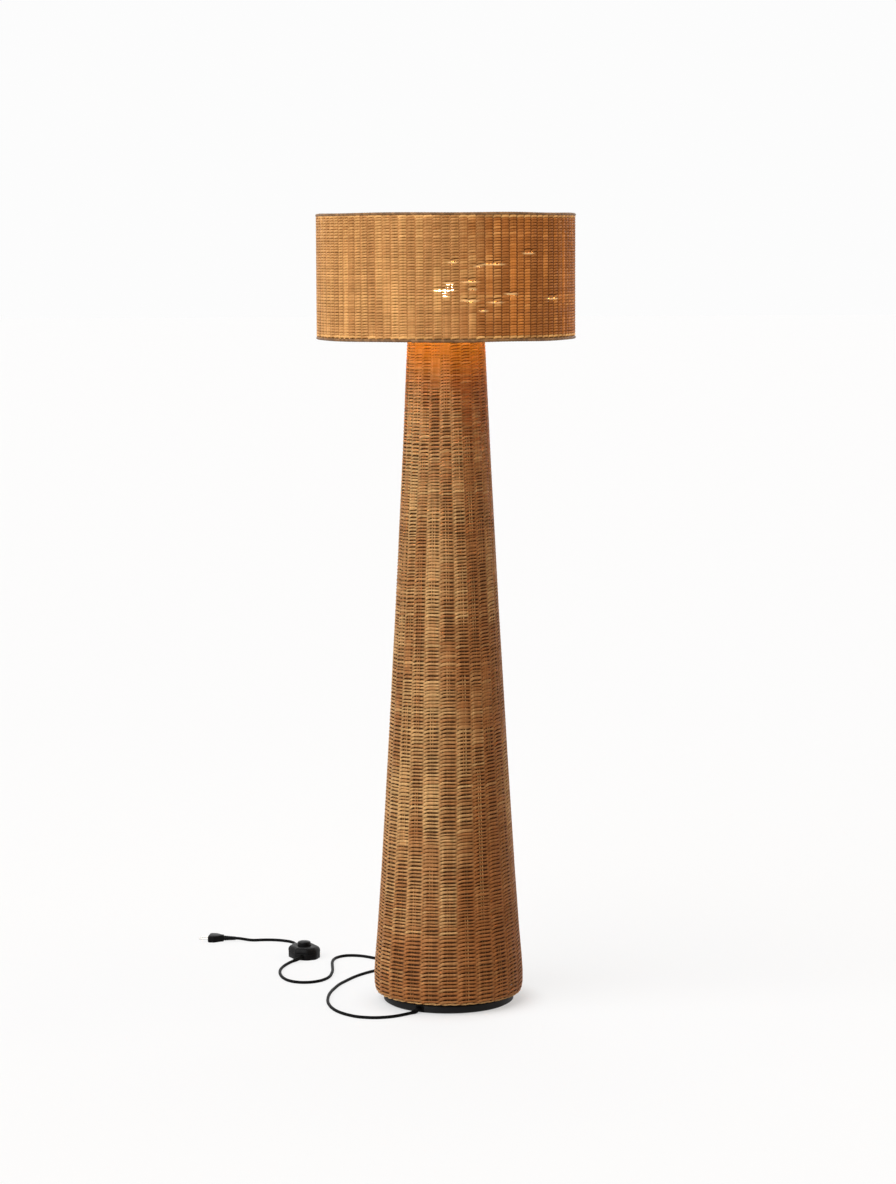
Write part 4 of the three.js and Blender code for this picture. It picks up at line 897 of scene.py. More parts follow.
# The lead's routes, in millimetres: the middle of the lead as it lies on the floor
LAMP_TO_COIL = (
    (-62, -118.6, 4.4), (-70, -125, 3.3), (-80, -134, 3.1), (-94, -145.5, 3.1), (-109, -154.5, 3.1),
    (-125, -159.5, 3.1), (-140, -161, 3.1), (-156, -158.5, 3.1), (-171, -153, 3.1), (-186, -141.5, 3.1),
    (-200, -126, 3.1), (-212, -107, 3.1), (-221, -85, 3.1), (-227, -62, 3.1), (-231, -36, 3.1),
    (-232, -8, 3.1), (-231, 20, 3.1), (-228, 46, 3.1), (-222, 75, 3.1), (-213, 109, 3.1), (-201, 138, 3.1),
    (-186, 170, 3.1), (-168, 198, 3.1), (-148, 221, 3.1), (-124, 239, 3.2), (-98, 250, 3.8),
)
COIL_TO_SWITCH = (
    (-86, 322.6, 9.8), (-104, 320.8, 7.4), (-122, 321.5, 4.6), (-138, 326.5, 3.2), (-152, 335, 3.1),
    (-165, 345.5, 3.1), (-178, 353.5, 3.1), (-194, 358, 3.1), (-210, 356, 3.1), (-224, 344, 3.1),
    (-232, 325, 3.1), (-234.5, 302, 3.1), (-234, 278, 3.1), (-232.5, 252, 3.1), (-231.5, 226, 3.1),
    (-232.5, 200, 3.1), (-236, 172, 3.1), (-245, 149, 3.1), (-260, 132, 3.1), (-279, 124.5, 3.1),
    (-298, 127.5, 3.1), (-314, 140, 3.1), (-326, 162, 3.1), (-333, 188, 3.1), (-336, 215, 3.1),
    (-335, 243, 3.1), (-329, 272, 3.1), (-320, 295, 3.6), (-309, 311, 5.2),
)
SWITCH_TO_PLUG = (
    (-316.5, 407, 5.4), (-319.5, 422, 3.6), (-319, 440, 3.1), (-317, 458, 3.1), (-319.5, 474, 3.1),
    (-328, 487, 3.1), (-341, 496.5, 3.1), (-356, 503, 3.1), (-373, 506, 3.1), (-390, 505.5, 3.1),
    (-408, 503.5, 3.1),
)
BUSH_MOUTH = Vector((-55.1, -113.54, 7.3))
BUSH_WAY = 218
SWITCH_AT = Vector((-294, 361, 0))
SWITCH_TURN = 27
SWITCH_INLET = Vector((-19, -27.5, 7))
SWITCH_INLET_WAY = 72
SWITCH_OUTLET = Vector((0, 36.5, 7))
SWITCH_OUTLET_WAY = 117
PLUG_AT = Vector((-468, 508.3, 6.85))
PLUG_TURN = 174
PLUG_MOUTH = -22

# How long the lead stays straight at its ends and beside its coil
STRAIGHT = 6

# The coil of spare lead: its middle, its widest radius, the gap of its turns, its height and its turning
COIL_AT = Vector((-60, 290, 4.3))
COIL_RADIUS = 36.5
COIL_PITCH = 6.6
COIL_TURN = 1270
COIL_START = -90
COIL_POINTS = 18

# The strap round the coil: its inner and outer reach, its foot and top, its width and thickness, its way
STRAP_REACH = (21.2, 40.2)
STRAP_LEVELS = (0.5, 14.7)
STRAP_WIDTH = 9
STRAP_THICKNESS = 1
STRAP_WAY = 205

# Tapered sleeves: their thickness as shares of the lead's at four points, and a point of their ends
BUSH_SLEEVE = (1.66, 1.52, 1.36, 1.08)
SWITCH_SLEEVE = (1.62, 1.48, 1.3, 1.08)
INLET_SLEEVE_END = (-313.6, 304.5, 4.5)
OUTLET_SLEEVE_END = (-318.4, 414.8, 4.4)


def heading(degrees):
    """A level way, by its angle from the X axis."""
    return Vector((math.cos(math.radians(degrees)), math.sin(math.radians(degrees)), 0))


def set_at(point, degrees):
    """Where something stands on the floor, and which way it is turned."""
    return Matrix.Translation(point) @ Matrix.Rotation(math.radians(degrees), 4, "Z")


SWITCH_PLACE = set_at(SWITCH_AT, SWITCH_TURN)
PLUG_PLACE = set_at(PLUG_AT, PLUG_TURN)


def in_metres(place):
    """A place in millimetres, for a mesh in metres."""
    return Matrix.Scale(MM, 4) @ place @ Matrix.Scale(1 / MM, 4)


def coil_points():
    """The spare lead's two layers: inwards below, outwards above."""
    total = math.radians(COIL_TURN)
    middle = total / 2
    steps = round(COIL_TURN / 360 * COIL_POINTS)
    inner = COIL_RADIUS - COIL_PITCH * middle / FULL
    points = []
    for i in range(steps + 1):
        turn = total * i / steps
        angle = math.radians(COIL_START) + turn
        radius = inner + COIL_PITCH * abs(turn - middle) / FULL
        climb = COIL_PITCH * smooth(turn, middle - math.pi / 2, middle + math.pi / 2)
        points.append(COIL_AT + Vector((radius * math.cos(angle), radius * math.sin(angle), climb)))
    before = points[0] + (points[0] - points[1]).normalized() * STRAIGHT
    after = points[-1] + (points[-1] - points[-2]).normalized() * STRAIGHT
    return [before, *points, after]


def lay_lead(name, points, diameter, rubber, *nodes, widths=None):
    """A stretch of lead, or a sleeve on it."""
    curve = curve_of(name, points, diameter, smoothness=6, sides=5, widths=widths)
    return add_piece(name, curve, rubber, "stand", "black_rubber", *nodes)


class LAMP_OT_lead(bpy.types.Operator):
    """Lays the lead from the base to the foot switch and on to the plug"""

    bl_idname = "rattan_lamp.lead"
    bl_label = "Lead"

    def execute(self, context):
        diameter = context.scene.lamp_sizes.lead_diameter
        colours = context.scene.lamp_colours
        rubber = soft_rubber("lead_rubber", colours.rubber)
        bush = BUSH_MOUTH, heading(BUSH_WAY)
        inlet = SWITCH_PLACE @ SWITCH_INLET, -heading(SWITCH_INLET_WAY)
        outlet = SWITCH_PLACE @ SWITCH_OUTLET, heading(SWITCH_OUTLET_WAY)
        mouth = PLUG_PLACE @ Vector((PLUG_MOUTH, 0, 0)), -heading(PLUG_TURN)
        long_points = [
            *self.stub(*bush, 0.3), *map(Vector, LAMP_TO_COIL), *coil_points(), *map(Vector, COIL_TO_SWITCH),
            *reversed(self.stub(*inlet, -1.7)),
        ]
        short_points = [
            *self.stub(*outlet, -1.7), *map(Vector, SWITCH_TO_PLUG), *reversed(self.stub(*mouth, 0.3)),
        ]
        lay_lead("lead_to_switch", long_points, diameter, rubber, "cord_lamp_to_coil", "cord_coil",
                 "cord_coil_to_switch")
        lay_lead("lead_to_plug", short_points, diameter, rubber, "cord_switch_to_plug")
        for name, (point, way), deep, knots, widths in (
            ("base", bush, 2, LAMP_TO_COIL[:2], BUSH_SLEEVE),
            ("inlet", inlet, 1, (COIL_TO_SWITCH[-1], INLET_SLEEVE_END), SWITCH_SLEEVE),
            ("outlet", outlet, 1, (SWITCH_TO_PLUG[0], OUTLET_SLEEVE_END), SWITCH_SLEEVE),
        ):
            points = [point - way * deep, point + way * 5, *knots]
            lay_lead(f"lead_sleeve_{name}", points, diameter, rubber, widths=widths)
        self.strap(colours)
        context.scene["lead_ends"] = [*long_points[0], *short_points[0]]
        return {"FINISHED"}

    def stub(self, point, way, start):
        """The lead's straight first stretch out of a mouth."""
        return [point + way * start, point + way * (start + STRAIGHT)]

    def strap(self, colours):
        """A soft strap round the coil, with its corners rounded less below than above."""
        bm = bmesh.new()
        (inner, outer), (low, high) = STRAP_REACH, STRAP_LEVELS
        loop = []
        for x, z, bend, start in (
            (outer, high, 4, 0), (inner, high, 4, 90), (inner, low, 1.5, 180), (outer, low, 1.5, 270),
        ):
            middle_x = x - bend if x == outer else x + bend
            middle_z = z - bend if z == high else z + bend
            for step in range(5):
                way = heading(start + 90 * step / 4) * bend
                loop.append(bm.verts.new(Vector((middle_x + way.x, -STRAP_WIDTH / 2, middle_z + way.y)) * MM))
        edges = [bm.edges.new(pair) for pair in zip(loop, loop[1:] + loop[:1])]
        made = bmesh.ops.extrude_edge_only(bm, edges=edges)
        bmesh.ops.translate(bm, verts=corners_in(made), vec=(0, STRAP_WIDTH * MM, 0))
        bmesh.ops.recalc_face_normals(bm, faces=bm.faces)
        bmesh.ops.solidify(bm, geom=bm.faces[:], thickness=-STRAP_THICKNESS * MM / 2)
        place = in_metres(set_at((COIL_AT.x, COIL_AT.y, 0), STRAP_WAY))
        add_solid("coil_strap", bm, 40, felt_pile("strap_pile", colours.felt), "stand", "felt", "coil_tie",
                  place=place)


# Base


class LAMP_OT_base(bpy.types.Operator):
    """Turns the cast base and its felt pad"""

    bl_idname = "rattan_lamp.base"
    bl_label = "Base"

    def execute(self, context):
        colours = context.scene.lamp_colours
        plate = turned([
            (0, 2.3), (123.4, 2.3), (124.5, 3.4), (124.5, 13.2), (123.9, 14.9), (122.4, 15.8), (120.6, 16),
            (38, 16), (31, 17.5), (25, 22), (21, 32), (20, 44), (20, 61), (19, 62), (0, 62),
        ], steps=160)
        iron = black_iron("base_coat", colours.iron)
        add_solid("base_disc", plate, 40, iron, "stand", "base_iron", "base_plate")
        pad = turned([(0, 0), (119.4, 0), (120, 0.5), (120, 1.6), (119.5, 2), (0, 2)], steps=120)
        add_solid("felt_disc", pad, 40, felt_pile("pad_felt", colours.felt), "stand", "felt", "base_pad")
        return {"FINISHED"}


# Column

# The column's mean radius, the heights of its close-woven mouth, its foot border, its bands of rows and
# the steps of a strand from one stake to the next
MEAN_RADIUS = 120 * MM
MOUTH_STARTS, MOUTH_ENDS = 1.15, 1.23
BORDER_RADIUS = 136
BORDER_LEVEL = 21.6
BORDER_TWISTS = 24
COLUMN_BANDS = 5
COLUMN_STEPS = 8


class ColumnWall(TwinedWall):
    """The column: open dashes over the stakes and closed strips between them."""

    wall = 5 * MM
    sharp = 1.5
    depth = 1.7 * MM
    thick = 1.1 * MM
    gap = (0.5, 0.82)
    flat = 0.6

    def __init__(self, sizes, levels, pitches):
        super().__init__(sizes.column_stakes, COLUMN_STEPS, levels, pitches)
        self.wander = sizes.column_wander / MEAN_RADIUS
        self.fullness = np.random.default_rng(21).normal(0, 0.018, len(levels))

    def middle(self, height):
        return column_radius(height) - self.wall / 2

    def stray(self, turn, level):
        return self.wander * ripple(turn, level, 5, around=7, climb=6)

    def drift(self, turn, level):
        wave = 0.8 * MM * ripple(turn, level, 3, 8, 24) + 0.14 * MM * ripple(turn, level, 4, 30, 400)
        return wave * np.clip((level - COLUMN_LOW.z) / 0.03, 0.1, 1)

    def ease(self, turn, seam, level):
        """Strips are not all as wide: more than 0 makes the dashes longer, and some run on across a strip."""
        wide = 0.16 - 0.34 * self.runs(seam, level, 36, 0.16)
        across = 0.42 * smooth(ripple(turn, level, 38, 10, 600), 0.5, 1.1)
        return wide + across + 0.35 * smooth(level, MOUTH_STARTS, MOUTH_ENDS)

    def swell(self, seam, turn):
        return 1.5 * MM

    def front_half(self, turn, level, row, stake):
        """Half the height of a strand in front of a stake, as a share of the pitch."""
        full = smooth(self.runs(stake, level, 39, 0.06), 0.5, 0.9) * (0.4 + 0.6 * smooth(level, 0.1, 0.45))
        rise = 0.03 * np.clip((level - 0.1) / 0.9, 0, 1) + 0.05 * smooth(level, MOUTH_STARTS, MOUTH_ENDS)
        close = 0.12 * smooth(ripple(turn, level, 40, 12, 600), 0.3, 1.3)
        uneven = self.fullness[row] + 0.025 * ripple(turn, level, 8, 12, 30)
        return 0.28 + rise + 0.17 * full + close + uneven

    def tones(self, turn, strand, row, stake, height, side):
        own = strand_tones(turn, strand, 2 * len(self.levels), 31)
        short = self.runs(stake, height, 33, 0.06)
        long = self.runs(stake, height, 34, 0.27)
        # Painted shade: darker and redder towards the foot, where less light falls.
        foot = 1 - smooth(height, 0.02, 0.5)
        across = np.abs(np.cos(side))
        # Painted highlight: paler lines at the strips' borders, where the strands bend round the stakes.
        edge = np.exp(-((across - 0.48) / 0.14) ** 2) * self.runs(stake, height, 35, 0.12) ** 2
        strip = 1 - smooth(across, 0.2, 0.6)
        tone = 0.42 * own + 0.36 * short + 0.52 * long + 0.45 * foot - 0.5 * edge - 0.15 * strip - 0.11
        # Redder runs, and painted shade: redder on the side away from the key light.
        red_runs_and_side_shade = 0.55 * self.runs(stake, height, 37, 0.19) + 0.42 * right_side(turn)
        # The hot value marks the mouth, where the finish paints the bulb's light in.
        return {"tone": tone, "warm": red_runs_and_side_shade + 0.25 * own + 0.3 * foot, "hot": smooth(height, 1.17, 1.27)}


class LAMP_OT_column(bpy.types.Operator):
    """Weaves the column: stakes, twined pairs and both borders"""

    bl_idname = "rattan_lamp.column"
    bl_label = "Column"

    def execute(self, context):
        sizes = context.scene.lamp_sizes
        colours = context.scene.lamp_colours
        # Painted light: the mouth's strands turn amber and glow, for the bulb's light that falls on them.
        finish = woven_rattan("column_rattan", colours, painted_mouth_light=0.6)
        finish.set("Emission Color", finish.mix(finish.attribute("hot"), (0, 0, 0), colours.mouth_glow))
        finish.set("Emission Strength", 1.0)
        low, high = COLUMN_LOW.z - 1.5 * MM, COLUMN_HIGH.z + 0.2 * MM
        rows = round((high - low) / sizes.column_pitch)
        wall = ColumnWall(sizes, *row_levels(low, high, rows, spread=0.12, seed=11, growth=0.1))
        wall.weave("column_weave_band", COLUMN_BANDS, finish, "stand", "column_weave")
        self.raise_stakes(wall, sizes.stake_width, finish)
        self.foot_border(finish)
        wrapped_rim("column_mouth_rim", (70.2, 1273), (2.6, 2.9), sizes.rim_wrap, colours, "stand",
                    "column_top_rim")
        return {"FINISHED"}

    def raise_stakes(self, wall, width, finish):
        """Stakes in pairs, which come to the front here and there."""
        mesh = straight_rods("column_stakes", 2 * wall.stakes, steps=70, sides=6)
        tones = np.random.default_rng(41).uniform(0.2, 0.8, 2 * wall.stakes)
        low, high = COLUMN_LOW.z - 3 * MM, COLUMN_HIGH.z + 3 * MM

        def place(rod, share, aside, outward):
            height = low + (high - low) * share
            pair, which = rod // 2, rod % 2 - 0.5
            straight = FULL * pair / wall.stakes
            middle = wall.middle(height)
            turn = straight - wall.stray(straight, height) + width * (1.1 * which + 0.22 * aside) / middle
            shown = smooth(wall.runs(pair, height, 42, 0.09), 0.4, 0.7)
            shown = shown * (0.6 + 0.4 * smooth(height, 0.25, 0.5))
            # Painted shade: a low lie darkens the stakes, which stand back behind the strands; one that comes
            # to the front is paler.
            return turn, middle + (1.2 * outward + 1.2 * shown) * MM, height, {
                "tone": tones[rod] - 0.5 * shown, "warm": tones[rod],
                "lie": 0.25 + 0.08 * outward + 0.6 * shown,
            }

        lay_rods(mesh, place)
        add_piece("column_stakes", mesh, finish, "stand", "rattan")

    def foot_border(self, finish):
        """A twisted pair round the foot."""
        mesh = strand_rings("column_foot_border", 2, BORDER_TWISTS * 16, sides=8)

        def place(turn, strand, outward, upward):
            phase = BORDER_TWISTS * turn + math.pi * strand
            radius = (BORDER_RADIUS + 1.3 * np.cos(phase) + 1.9 * outward) * MM
            height = (BORDER_LEVEL + 0.9 * np.sin(phase) + 1.4 * upward) * MM
            tone = 0.12 + 0.3 * strand_tones(turn, strand, 2, 51)
            # Painted shade: darker where each strand twists in behind the other.
            lie = 0.62 + 0.3 * np.cos(phase) + 0.1 * outward
            return turn, radius, height, {"tone": tone, "warm": 0 * tone, "lie": lie}

        lay_rings(mesh, place)
        add_piece("column_foot_border", mesh, finish, "stand", "rattan_rim", "column_foot_rim")


def wrapped_rim(name, ring, half, wrap, colours, body, node):
    """A rim wound with cane, by its radius and height and half its section in millimetres."""
    (radius, level), (half_width, half_height) = ring, half
    turns = round(FULL * radius * MM / wrap)
    mesh = strand_rings(name, 1, turns * 4, sides=10)
    tones = np.random.default_rng(turns).uniform(0, 1, turns + 1)

    def place(turn, strand, outward, upward):
        phase = turns * turn + 1.1 * np.arctan2(upward, outward)
        swell = 0.9 + 0.1 * np.abs(np.cos(phase / 2))
        height = level + half_height * swell * upward + 0.3 * ripple(turn, 0, turns, 12, 1)
        which = np.mod(np.rint(phase / FULL), turns).astype(int)
        # The lie falls where the cane narrows between turns, and the finish paints shade there.
        values = {"tone": tones[which], "lie": swell * 5 - 4.2}
        return turn, (radius + half_width * swell * outward) * MM, height * MM, values

    lay_rings(mesh, place)
    add_piece(name, mesh, rim_cane(name + "_cane", colours), body, "rattan_rim", node)


# Shade

# The front slits: turn from the front, half width in turn, height, how far they open
SLITS = (
    (0.0, 0.03, 1.3490, 0.3), (-0.015, 0.08, 1.3593, 0.9), (0.025, 0.03, 1.3727, 0.8),
    (0.05, 0.035, 1.41, 0.9), (0.36, 0.09, 1.406, 1.0), (0.18, 0.06, 1.3747, 0.9),
    (0.18, 0.06, 1.3405, 0.9), (0.2, 0.03, 1.3614, 0.8), (0.38, 0.055, 1.3375, 1.1),
    (0.51, 0.05, 1.3525, 0.9), (0.67, 0.05, 1.4255, 0.7), (0.94, 0.07, 1.343, 0.6),
    (0.28, 0.03, 1.3226, 0.6), (0.25, 0.03, 1.4025, 0.6),
)

# The shade's slits behind, its bands of rows, and the steps of a strand from one stake to the next
BACK_SLITS = 36
SHADE_BANDS = 3
SHADE_STEPS = 4

# The front's turn, and how far up and down a front slit lights the strands, in metres
FRONT = -math.pi / 2
HOT_REACH = 0.0013


class ShadeWall(TwinedWall):
    """The shade: close rows, dark seams between the stakes with painted shade in them, and a few bright
    slits.
    """

    bunch = 0.35
    closed = 0.29
    swap = 0.18
    ring = 240.7 * MM
    depth = 1.45 * MM
    thick = 0.95 * MM

    def __init__(self, sizes, levels, pitches):
        super().__init__(sizes.shade_stakes, SHADE_STEPS, levels, pitches)
        rng = np.random.default_rng(71)
        self.slits = [
            (FRONT + at, span, np.searchsorted(levels, level), amount) for at, span, level, amount in SLITS
        ]
        for _ in range(BACK_SLITS):
            self.slits.append((
                rng.uniform(0, math.pi), rng.uniform(0.03, 0.08), rng.integers(1, len(levels) - 1),
                rng.uniform(0.6, 1.2),
            ))
        self.swells = rng.choice([0.1, 0.4, 0.8, 1.1], sizes.shade_stakes) * MM
        # Painted shade: how dark the line down each seam is painted.
        self.seam_shades = rng.choice([0.2, 0.6, 1.0, 1.3], sizes.shade_stakes)

    def middle(self, height):
        return self.ring

    def stray(self, turn, level):
        return 0.004 * ripple(turn, level, 65, 20, 9)

    def swell(self, seam, turn):
        left = 1 - right_side(turn)
        return self.swells[seam] * (0.1 + 0.9 * left) + 0.25 * MM * left

    def near(self, turn, at, span):
        """1 at a slit's middle, 0 past its ends."""
        return np.exp(-((np.mod(turn - at + math.pi, FULL) - math.pi) / span) ** 4)

    def cover(self, turn, row):
        kept = 1.0
        for at, span, slit, _ in self.slits:
            kept = kept - 0.9 * self.near(turn, at, span) * ((row == slit) | (row == slit - 1))
        return np.clip(kept, 0, 1)

    def drift(self, turn, level):
        moved = 0.55 * MM * ripple(turn, level, 67, 10, 22) + 0.06 * MM * ripple(turn, level, 68, 50, 400)
        return moved * np.clip(np.minimum(level - SHADE_LOW.z, SHADE_HIGH.z - level) / 0.02, 0.1, 1)

    def slit(self, turn, row):
        thin, away = 0.0, 0.0
        for at, span, slit, amount in self.slits:
            near = self.near(turn, at, span)
            thin = thin + 0.15 * amount * near * ((row == slit) | (row == slit - 1))
            away = away + near * ((row == slit) * 1.0 - (row == slit - 1))
        return np.clip(thin, 0, 0.3), np.clip(away, -1, 1)

    def less_crevice_shade(self, turn):
        # Less painted shade in the crevices on the left, the side towards the key light.
        return 0.2 * (1 - right_side(turn))

    def ease(self, turn, seam, level):
        return 0.1 * ripple(turn, level, 69, 30, 60)

    def front_half(self, turn, level, row, stake):
        full = smooth(self.runs(stake, level, 85, 0.13), 0.25, 0.95)
        return 0.4 + (0.09 - 0.04 * right_side(turn)) * full + 0.012 * ripple(turn, level, 66, 24, 60)

    def tones(self, turn, strand, row, stake, height, side):
        own = strand_tones(turn, strand, 2 * len(self.levels), 81)
        short = self.runs(stake, height, 83, 0.08)
        long = self.runs(stake, height, 84, 0.4)
        edge = (row == 0) | (row == len(self.levels) - 1)
        right = right_side(turn)
        cell = 0.25 * own + 0.2 * short + 0.3 * long
        # Painted shade: a dark line down each seam, where the strands cross.
        line = self.seam_shades[stake] * (1 - smooth(np.abs(np.cos(side)), 0.0, 0.3))
        # Painted shade: darker, with stronger contrast, and redder on the side away from the key light.
        tone = 0.2 + cell + right * (0.12 + 1.3 * (cell - 0.37)) + line
        warm = 0.25 * self.runs(stake, height, 87, 0.16) + 0.2 * own + 0.7 * right
        # Painted light: the first and last rows are pale, for the light that comes through under the rims.
        return {
            "tone": np.where(edge, 1.2 * short - 0.3, tone), "warm": np.where(edge, 0.0, warm),
            "hot": self.hot(turn, height),
        }

    def hot(self, turn, height):
        """How near the front slits a place is: thin strands there let more light through."""
        near = 0
        for at, span, level, _ in SLITS:
            near = near + self.near(turn, FRONT + at, span) * np.exp(-((height - level) / HOT_REACH) ** 2)
        return 0.8 * near


# The rims and hoops in millimetres: their radii, and the heights of the shade's foot and mouth
RIM_RADIUS = 240.4
HOOP_RADIUS = 234.3
FOOT_LEVEL = 1269
MOUTH_LEVEL = 1497

# The wires: their radius, how many arms, and an arm's line as (reach, height) in millimetres
WIRE_RADIUS = 2 * MM
ARMS = 4
ARM_LINE = (
    (26.2, 1295.2), (60, 1295.2), (110, 1295.2), (150, 1293.6), (182, 1286), (212, 1273.6), (233, 1269.4),
)


class LAMP_OT_shade(bpy.types.Operator):
    """Weaves the shade on its wire frame"""

    bl_idname = "rattan_lamp.shade"
    bl_label = "Shade"

    def execute(self, context):
        sizes = context.scene.lamp_sizes
        colours = context.scene.lamp_colours
        finish = woven_rattan("shade_rattan", colours, (0.15, 0.8))
        self.glow(finish, colours)
        low, high = SHADE_LOW.z - 0.8 * MM, SHADE_HIGH.z + 0.8 * MM
        rows = round((high - low) / sizes.shade_pitch)
        wall = ShadeWall(sizes, *row_levels(low, high, rows, spread=0.07, seed=61))
        wall.weave("shade_weave_band", SHADE_BANDS, finish, "shade", "shade_weave")
        self.raise_stakes(wall, finish)
        wire = coated_wire("wire_coat", colours.wire)
        for end, level, node in (("foot", FOOT_LEVEL, "bottom"), ("mouth", MOUTH_LEVEL, "top")):
            wrapped_rim(f"shade_{end}_rim", (RIM_RADIUS, level), (3.6, 3), sizes.rim_wrap, colours, "shade",
                        f"shade_{node}_rim")
            name = f"shade_{end}_hoop"
            hoop = round_wire(HOOP_RADIUS * MM, level * MM, WIRE_RADIUS, sides=10, steps=180)
            add_solid(name, hoop, None, wire, "shade", "wire", f"shade_{node}_wire")
        for number in range(1, ARMS + 1):
            self.arm(number, wire)
        ring = turned([(20.6, 1294.3), (27, 1294.3), (27, 1295.8), (20.6, 1295.8)], steps=72)
        round_off(ring, sharp_edges(ring), 0.4, 3)
        add_solid("fitter_washer", ring, 40, wire, "shade", "wire", "fitter_ring")
        return {"FINISHED"}

    def glow(self, finish, colours):
        """Light that comes through the strands."""
        tone, warm, lie = map(finish.attribute, ("tone", "warm", "lie"))
        lit = finish.mix(finish.stretch(warm, 0.2, 0.9), colours.through, colours.through_deep)
        share = finish.stretch(lie, 0.2, 0.8, 0.12, 1) * finish.stretch(tone, 0, 1, 1.4, 0.5)
        lit = finish.mix(finish.attribute("hot"), finish.shaded(lit, share), colours.bright)
        finish.set("Emission Color", lit)
        finish.set("Emission Strength", 1.0)

    def raise_stakes(self, wall, finish):
        mesh = straight_rods("shade_stakes", wall.stakes, steps=16, sides=6)
        tones = np.random.default_rng(91).uniform(0.5, 1.0, wall.stakes)
        low, high = SHADE_LOW.z - 2 * MM, SHADE_HIGH.z + 2 * MM

        def place(rod, share, aside, outward):
            height = low + (high - low) * share
            straight = FULL * rod / wall.stakes
            turn = straight - wall.stray(straight, height) + 1.3 * MM * aside / wall.ring
            # Painted shade: a low lie darkens the stakes behind the strands.
            values = {"tone": tones[rod], "warm": tones[rod], "lie": 0.25 + 0.08 * outward}
            return turn, wall.ring + 0.7 * MM * outward, height, values

        lay_rods(mesh, place)
        add_piece("shade_stakes", mesh, finish, "shade", "rattan")

    def arm(self, number, wire):
        """One arm, bent down from the fitter to the lower hoop."""
        way = heading(360 / ARMS * (number - 0.5))
        points = [way * reach + Vector((0, 0, height)) for reach, height in ARM_LINE]
        name = f"shade_arm_wire_{number}"
        curve = curve_of(name, points, 2 * WIRE_RADIUS, smoothness=8, sides=3)
        mesh = evaluated(linked(name, curve))
        mesh.shade_smooth()
        add_piece(name, mesh, wire, "shade", "wire", f"shade_arm_{number}")


# Bulb and holder

# The globe: its radius and the height of its middle, and where it leaves the neck, in degrees from below
GLOBE_RADIUS = 30
GLOBE_LEVEL = 1358.4
GLOBE_NECK = 38
BULB_POWER = 14

# The grips round the shade ring: how many, and how deep in millimetres
RING_GRIPS = 8
GRIP_DEPTH = 1.3


class LAMP_OT_bulb(bpy.types.Operator):
    """Blows the bulb, lights it, and turns its holder"""

    bl_idname = "rattan_lamp.bulb"
    bl_label = "Bulb and holder"

    def execute(self, context):
        colours = context.scene.lamp_colours
        self.glass()
        self.holder(colours)
        self.light(colours)
        return {"FINISHED"}

    def glass(self):
        profile = [(12.2, 1299.9), (12.4, 1309), (13.2, 1317), (15.4, 1326), (18.47, 1334.8)]
        steps = 14
        for step in range(1, steps):
            angle = math.radians(GLOBE_NECK + (180 - GLOBE_NECK) * step / steps)
            profile.append((GLOBE_RADIUS * math.sin(angle), GLOBE_LEVEL - GLOBE_RADIUS * math.cos(angle)))
        profile.append((0, GLOBE_LEVEL + GLOBE_RADIUS))
        globe = turned(profile, steps=64, closed=False)
        glass = lit_glass("bulb_glass_lit")
        piece = add_solid("bulb_globe", globe, None, glass, "bulb", "glass", "bulb_glass")
        piece.visible_shadow = False
        piece.visible_diffuse = False

    def holder(self, colours):
        plastic = matt_plastic("holder_plastic", colours.plastic, rough=0.42)
        barrel = turned([
            (17.6, 1262.4), (19.2, 1262.6), (20, 1263.6), (20, 1291.8), (22, 1292.4), (24, 1292.6),
            (24, 1294), (20, 1294), (20, 1307.4), (19, 1308.4), (17.6, 1308.4), (17.6, 1300),
        ], steps=72)
        foot = turned([
            (5.4, 1251.4), (9, 1251.6), (13.4, 1253.4), (16, 1257), (17, 1262), (17, 1268.4), (15, 1268.4),
            (5.4, 1254),
        ], steps=72)
        ring = turned([
            (20.5, 1296.1), (25.2, 1296.1), (25.3, 1296.4), (25.3, 1301.7), (23.9, 1303.1), (20.5, 1303.1),
        ], steps=96)
        for corner in ring.verts:
            reach = corner.co.xy.length
            if reach > 22 * MM:
                grip = max(0.0, math.cos(RING_GRIPS * math.atan2(corner.co.y, corner.co.x))) ** 8
                corner.co.xy *= 1 - GRIP_DEPTH * MM * grip / reach
        for name, bm, body, node in (
            ("holder_barrel", barrel, "stand", "holder_shell"), ("holder_foot", foot, "stand", "holder_cap"),
            ("holder_ring", ring, "shade_ring", "shade_ring"),
        ):
            add_solid(name, bm, 35, plastic, body, "black_plastic", node)

    def light(self, colours):
        data = bpy.data.lights.new("bulb_light", "POINT")
        data.energy = BULB_POWER
        data.color = colours.glow
        data.shadow_soft_size = 28 * MM
        linked("bulb_light", data).location = (0, 0, GLOBE_LEVEL * MM)


# Foot switch and plug

# The switch in its own place, in millimetres: half its width and length, half its short ends and sides
PEDAL_SIDE, PEDAL_END = 28, 36.5
PEDAL_NOSE, PEDAL_CHEEK = 10, 18.5
TRAY_TOP = 13
COVER_FOOT = 13.3
COVER_SHOULDER = 15
CROWN_RISE, CROWN_INSET, CROWN_STEPS = 9, 8, 7
LEAD_HOLE = 3.5
WELL_RADIUS = 13.7
BUTTON_RADIUS = 13.3
SPRING_RADIUS = 5.4
SPRING_WIRE = 0.45
SPRING_TURNS = 5


def pedal_outline(inset=0.0):
    """The switch's eight-sided outline, drawn in by a distance."""
    cut = inset * math.tan(math.pi / 8)
    side, end = PEDAL_SIDE - inset, PEDAL_END - inset
    nose, cheek = PEDAL_NOSE - cut, PEDAL_CHEEK - cut
    return [
        (nose, -end), (side, -cheek), (side, cheek), (nose, end), (-nose, end), (-side, cheek),
        (-side, -cheek), (-nose, -end),
    ]


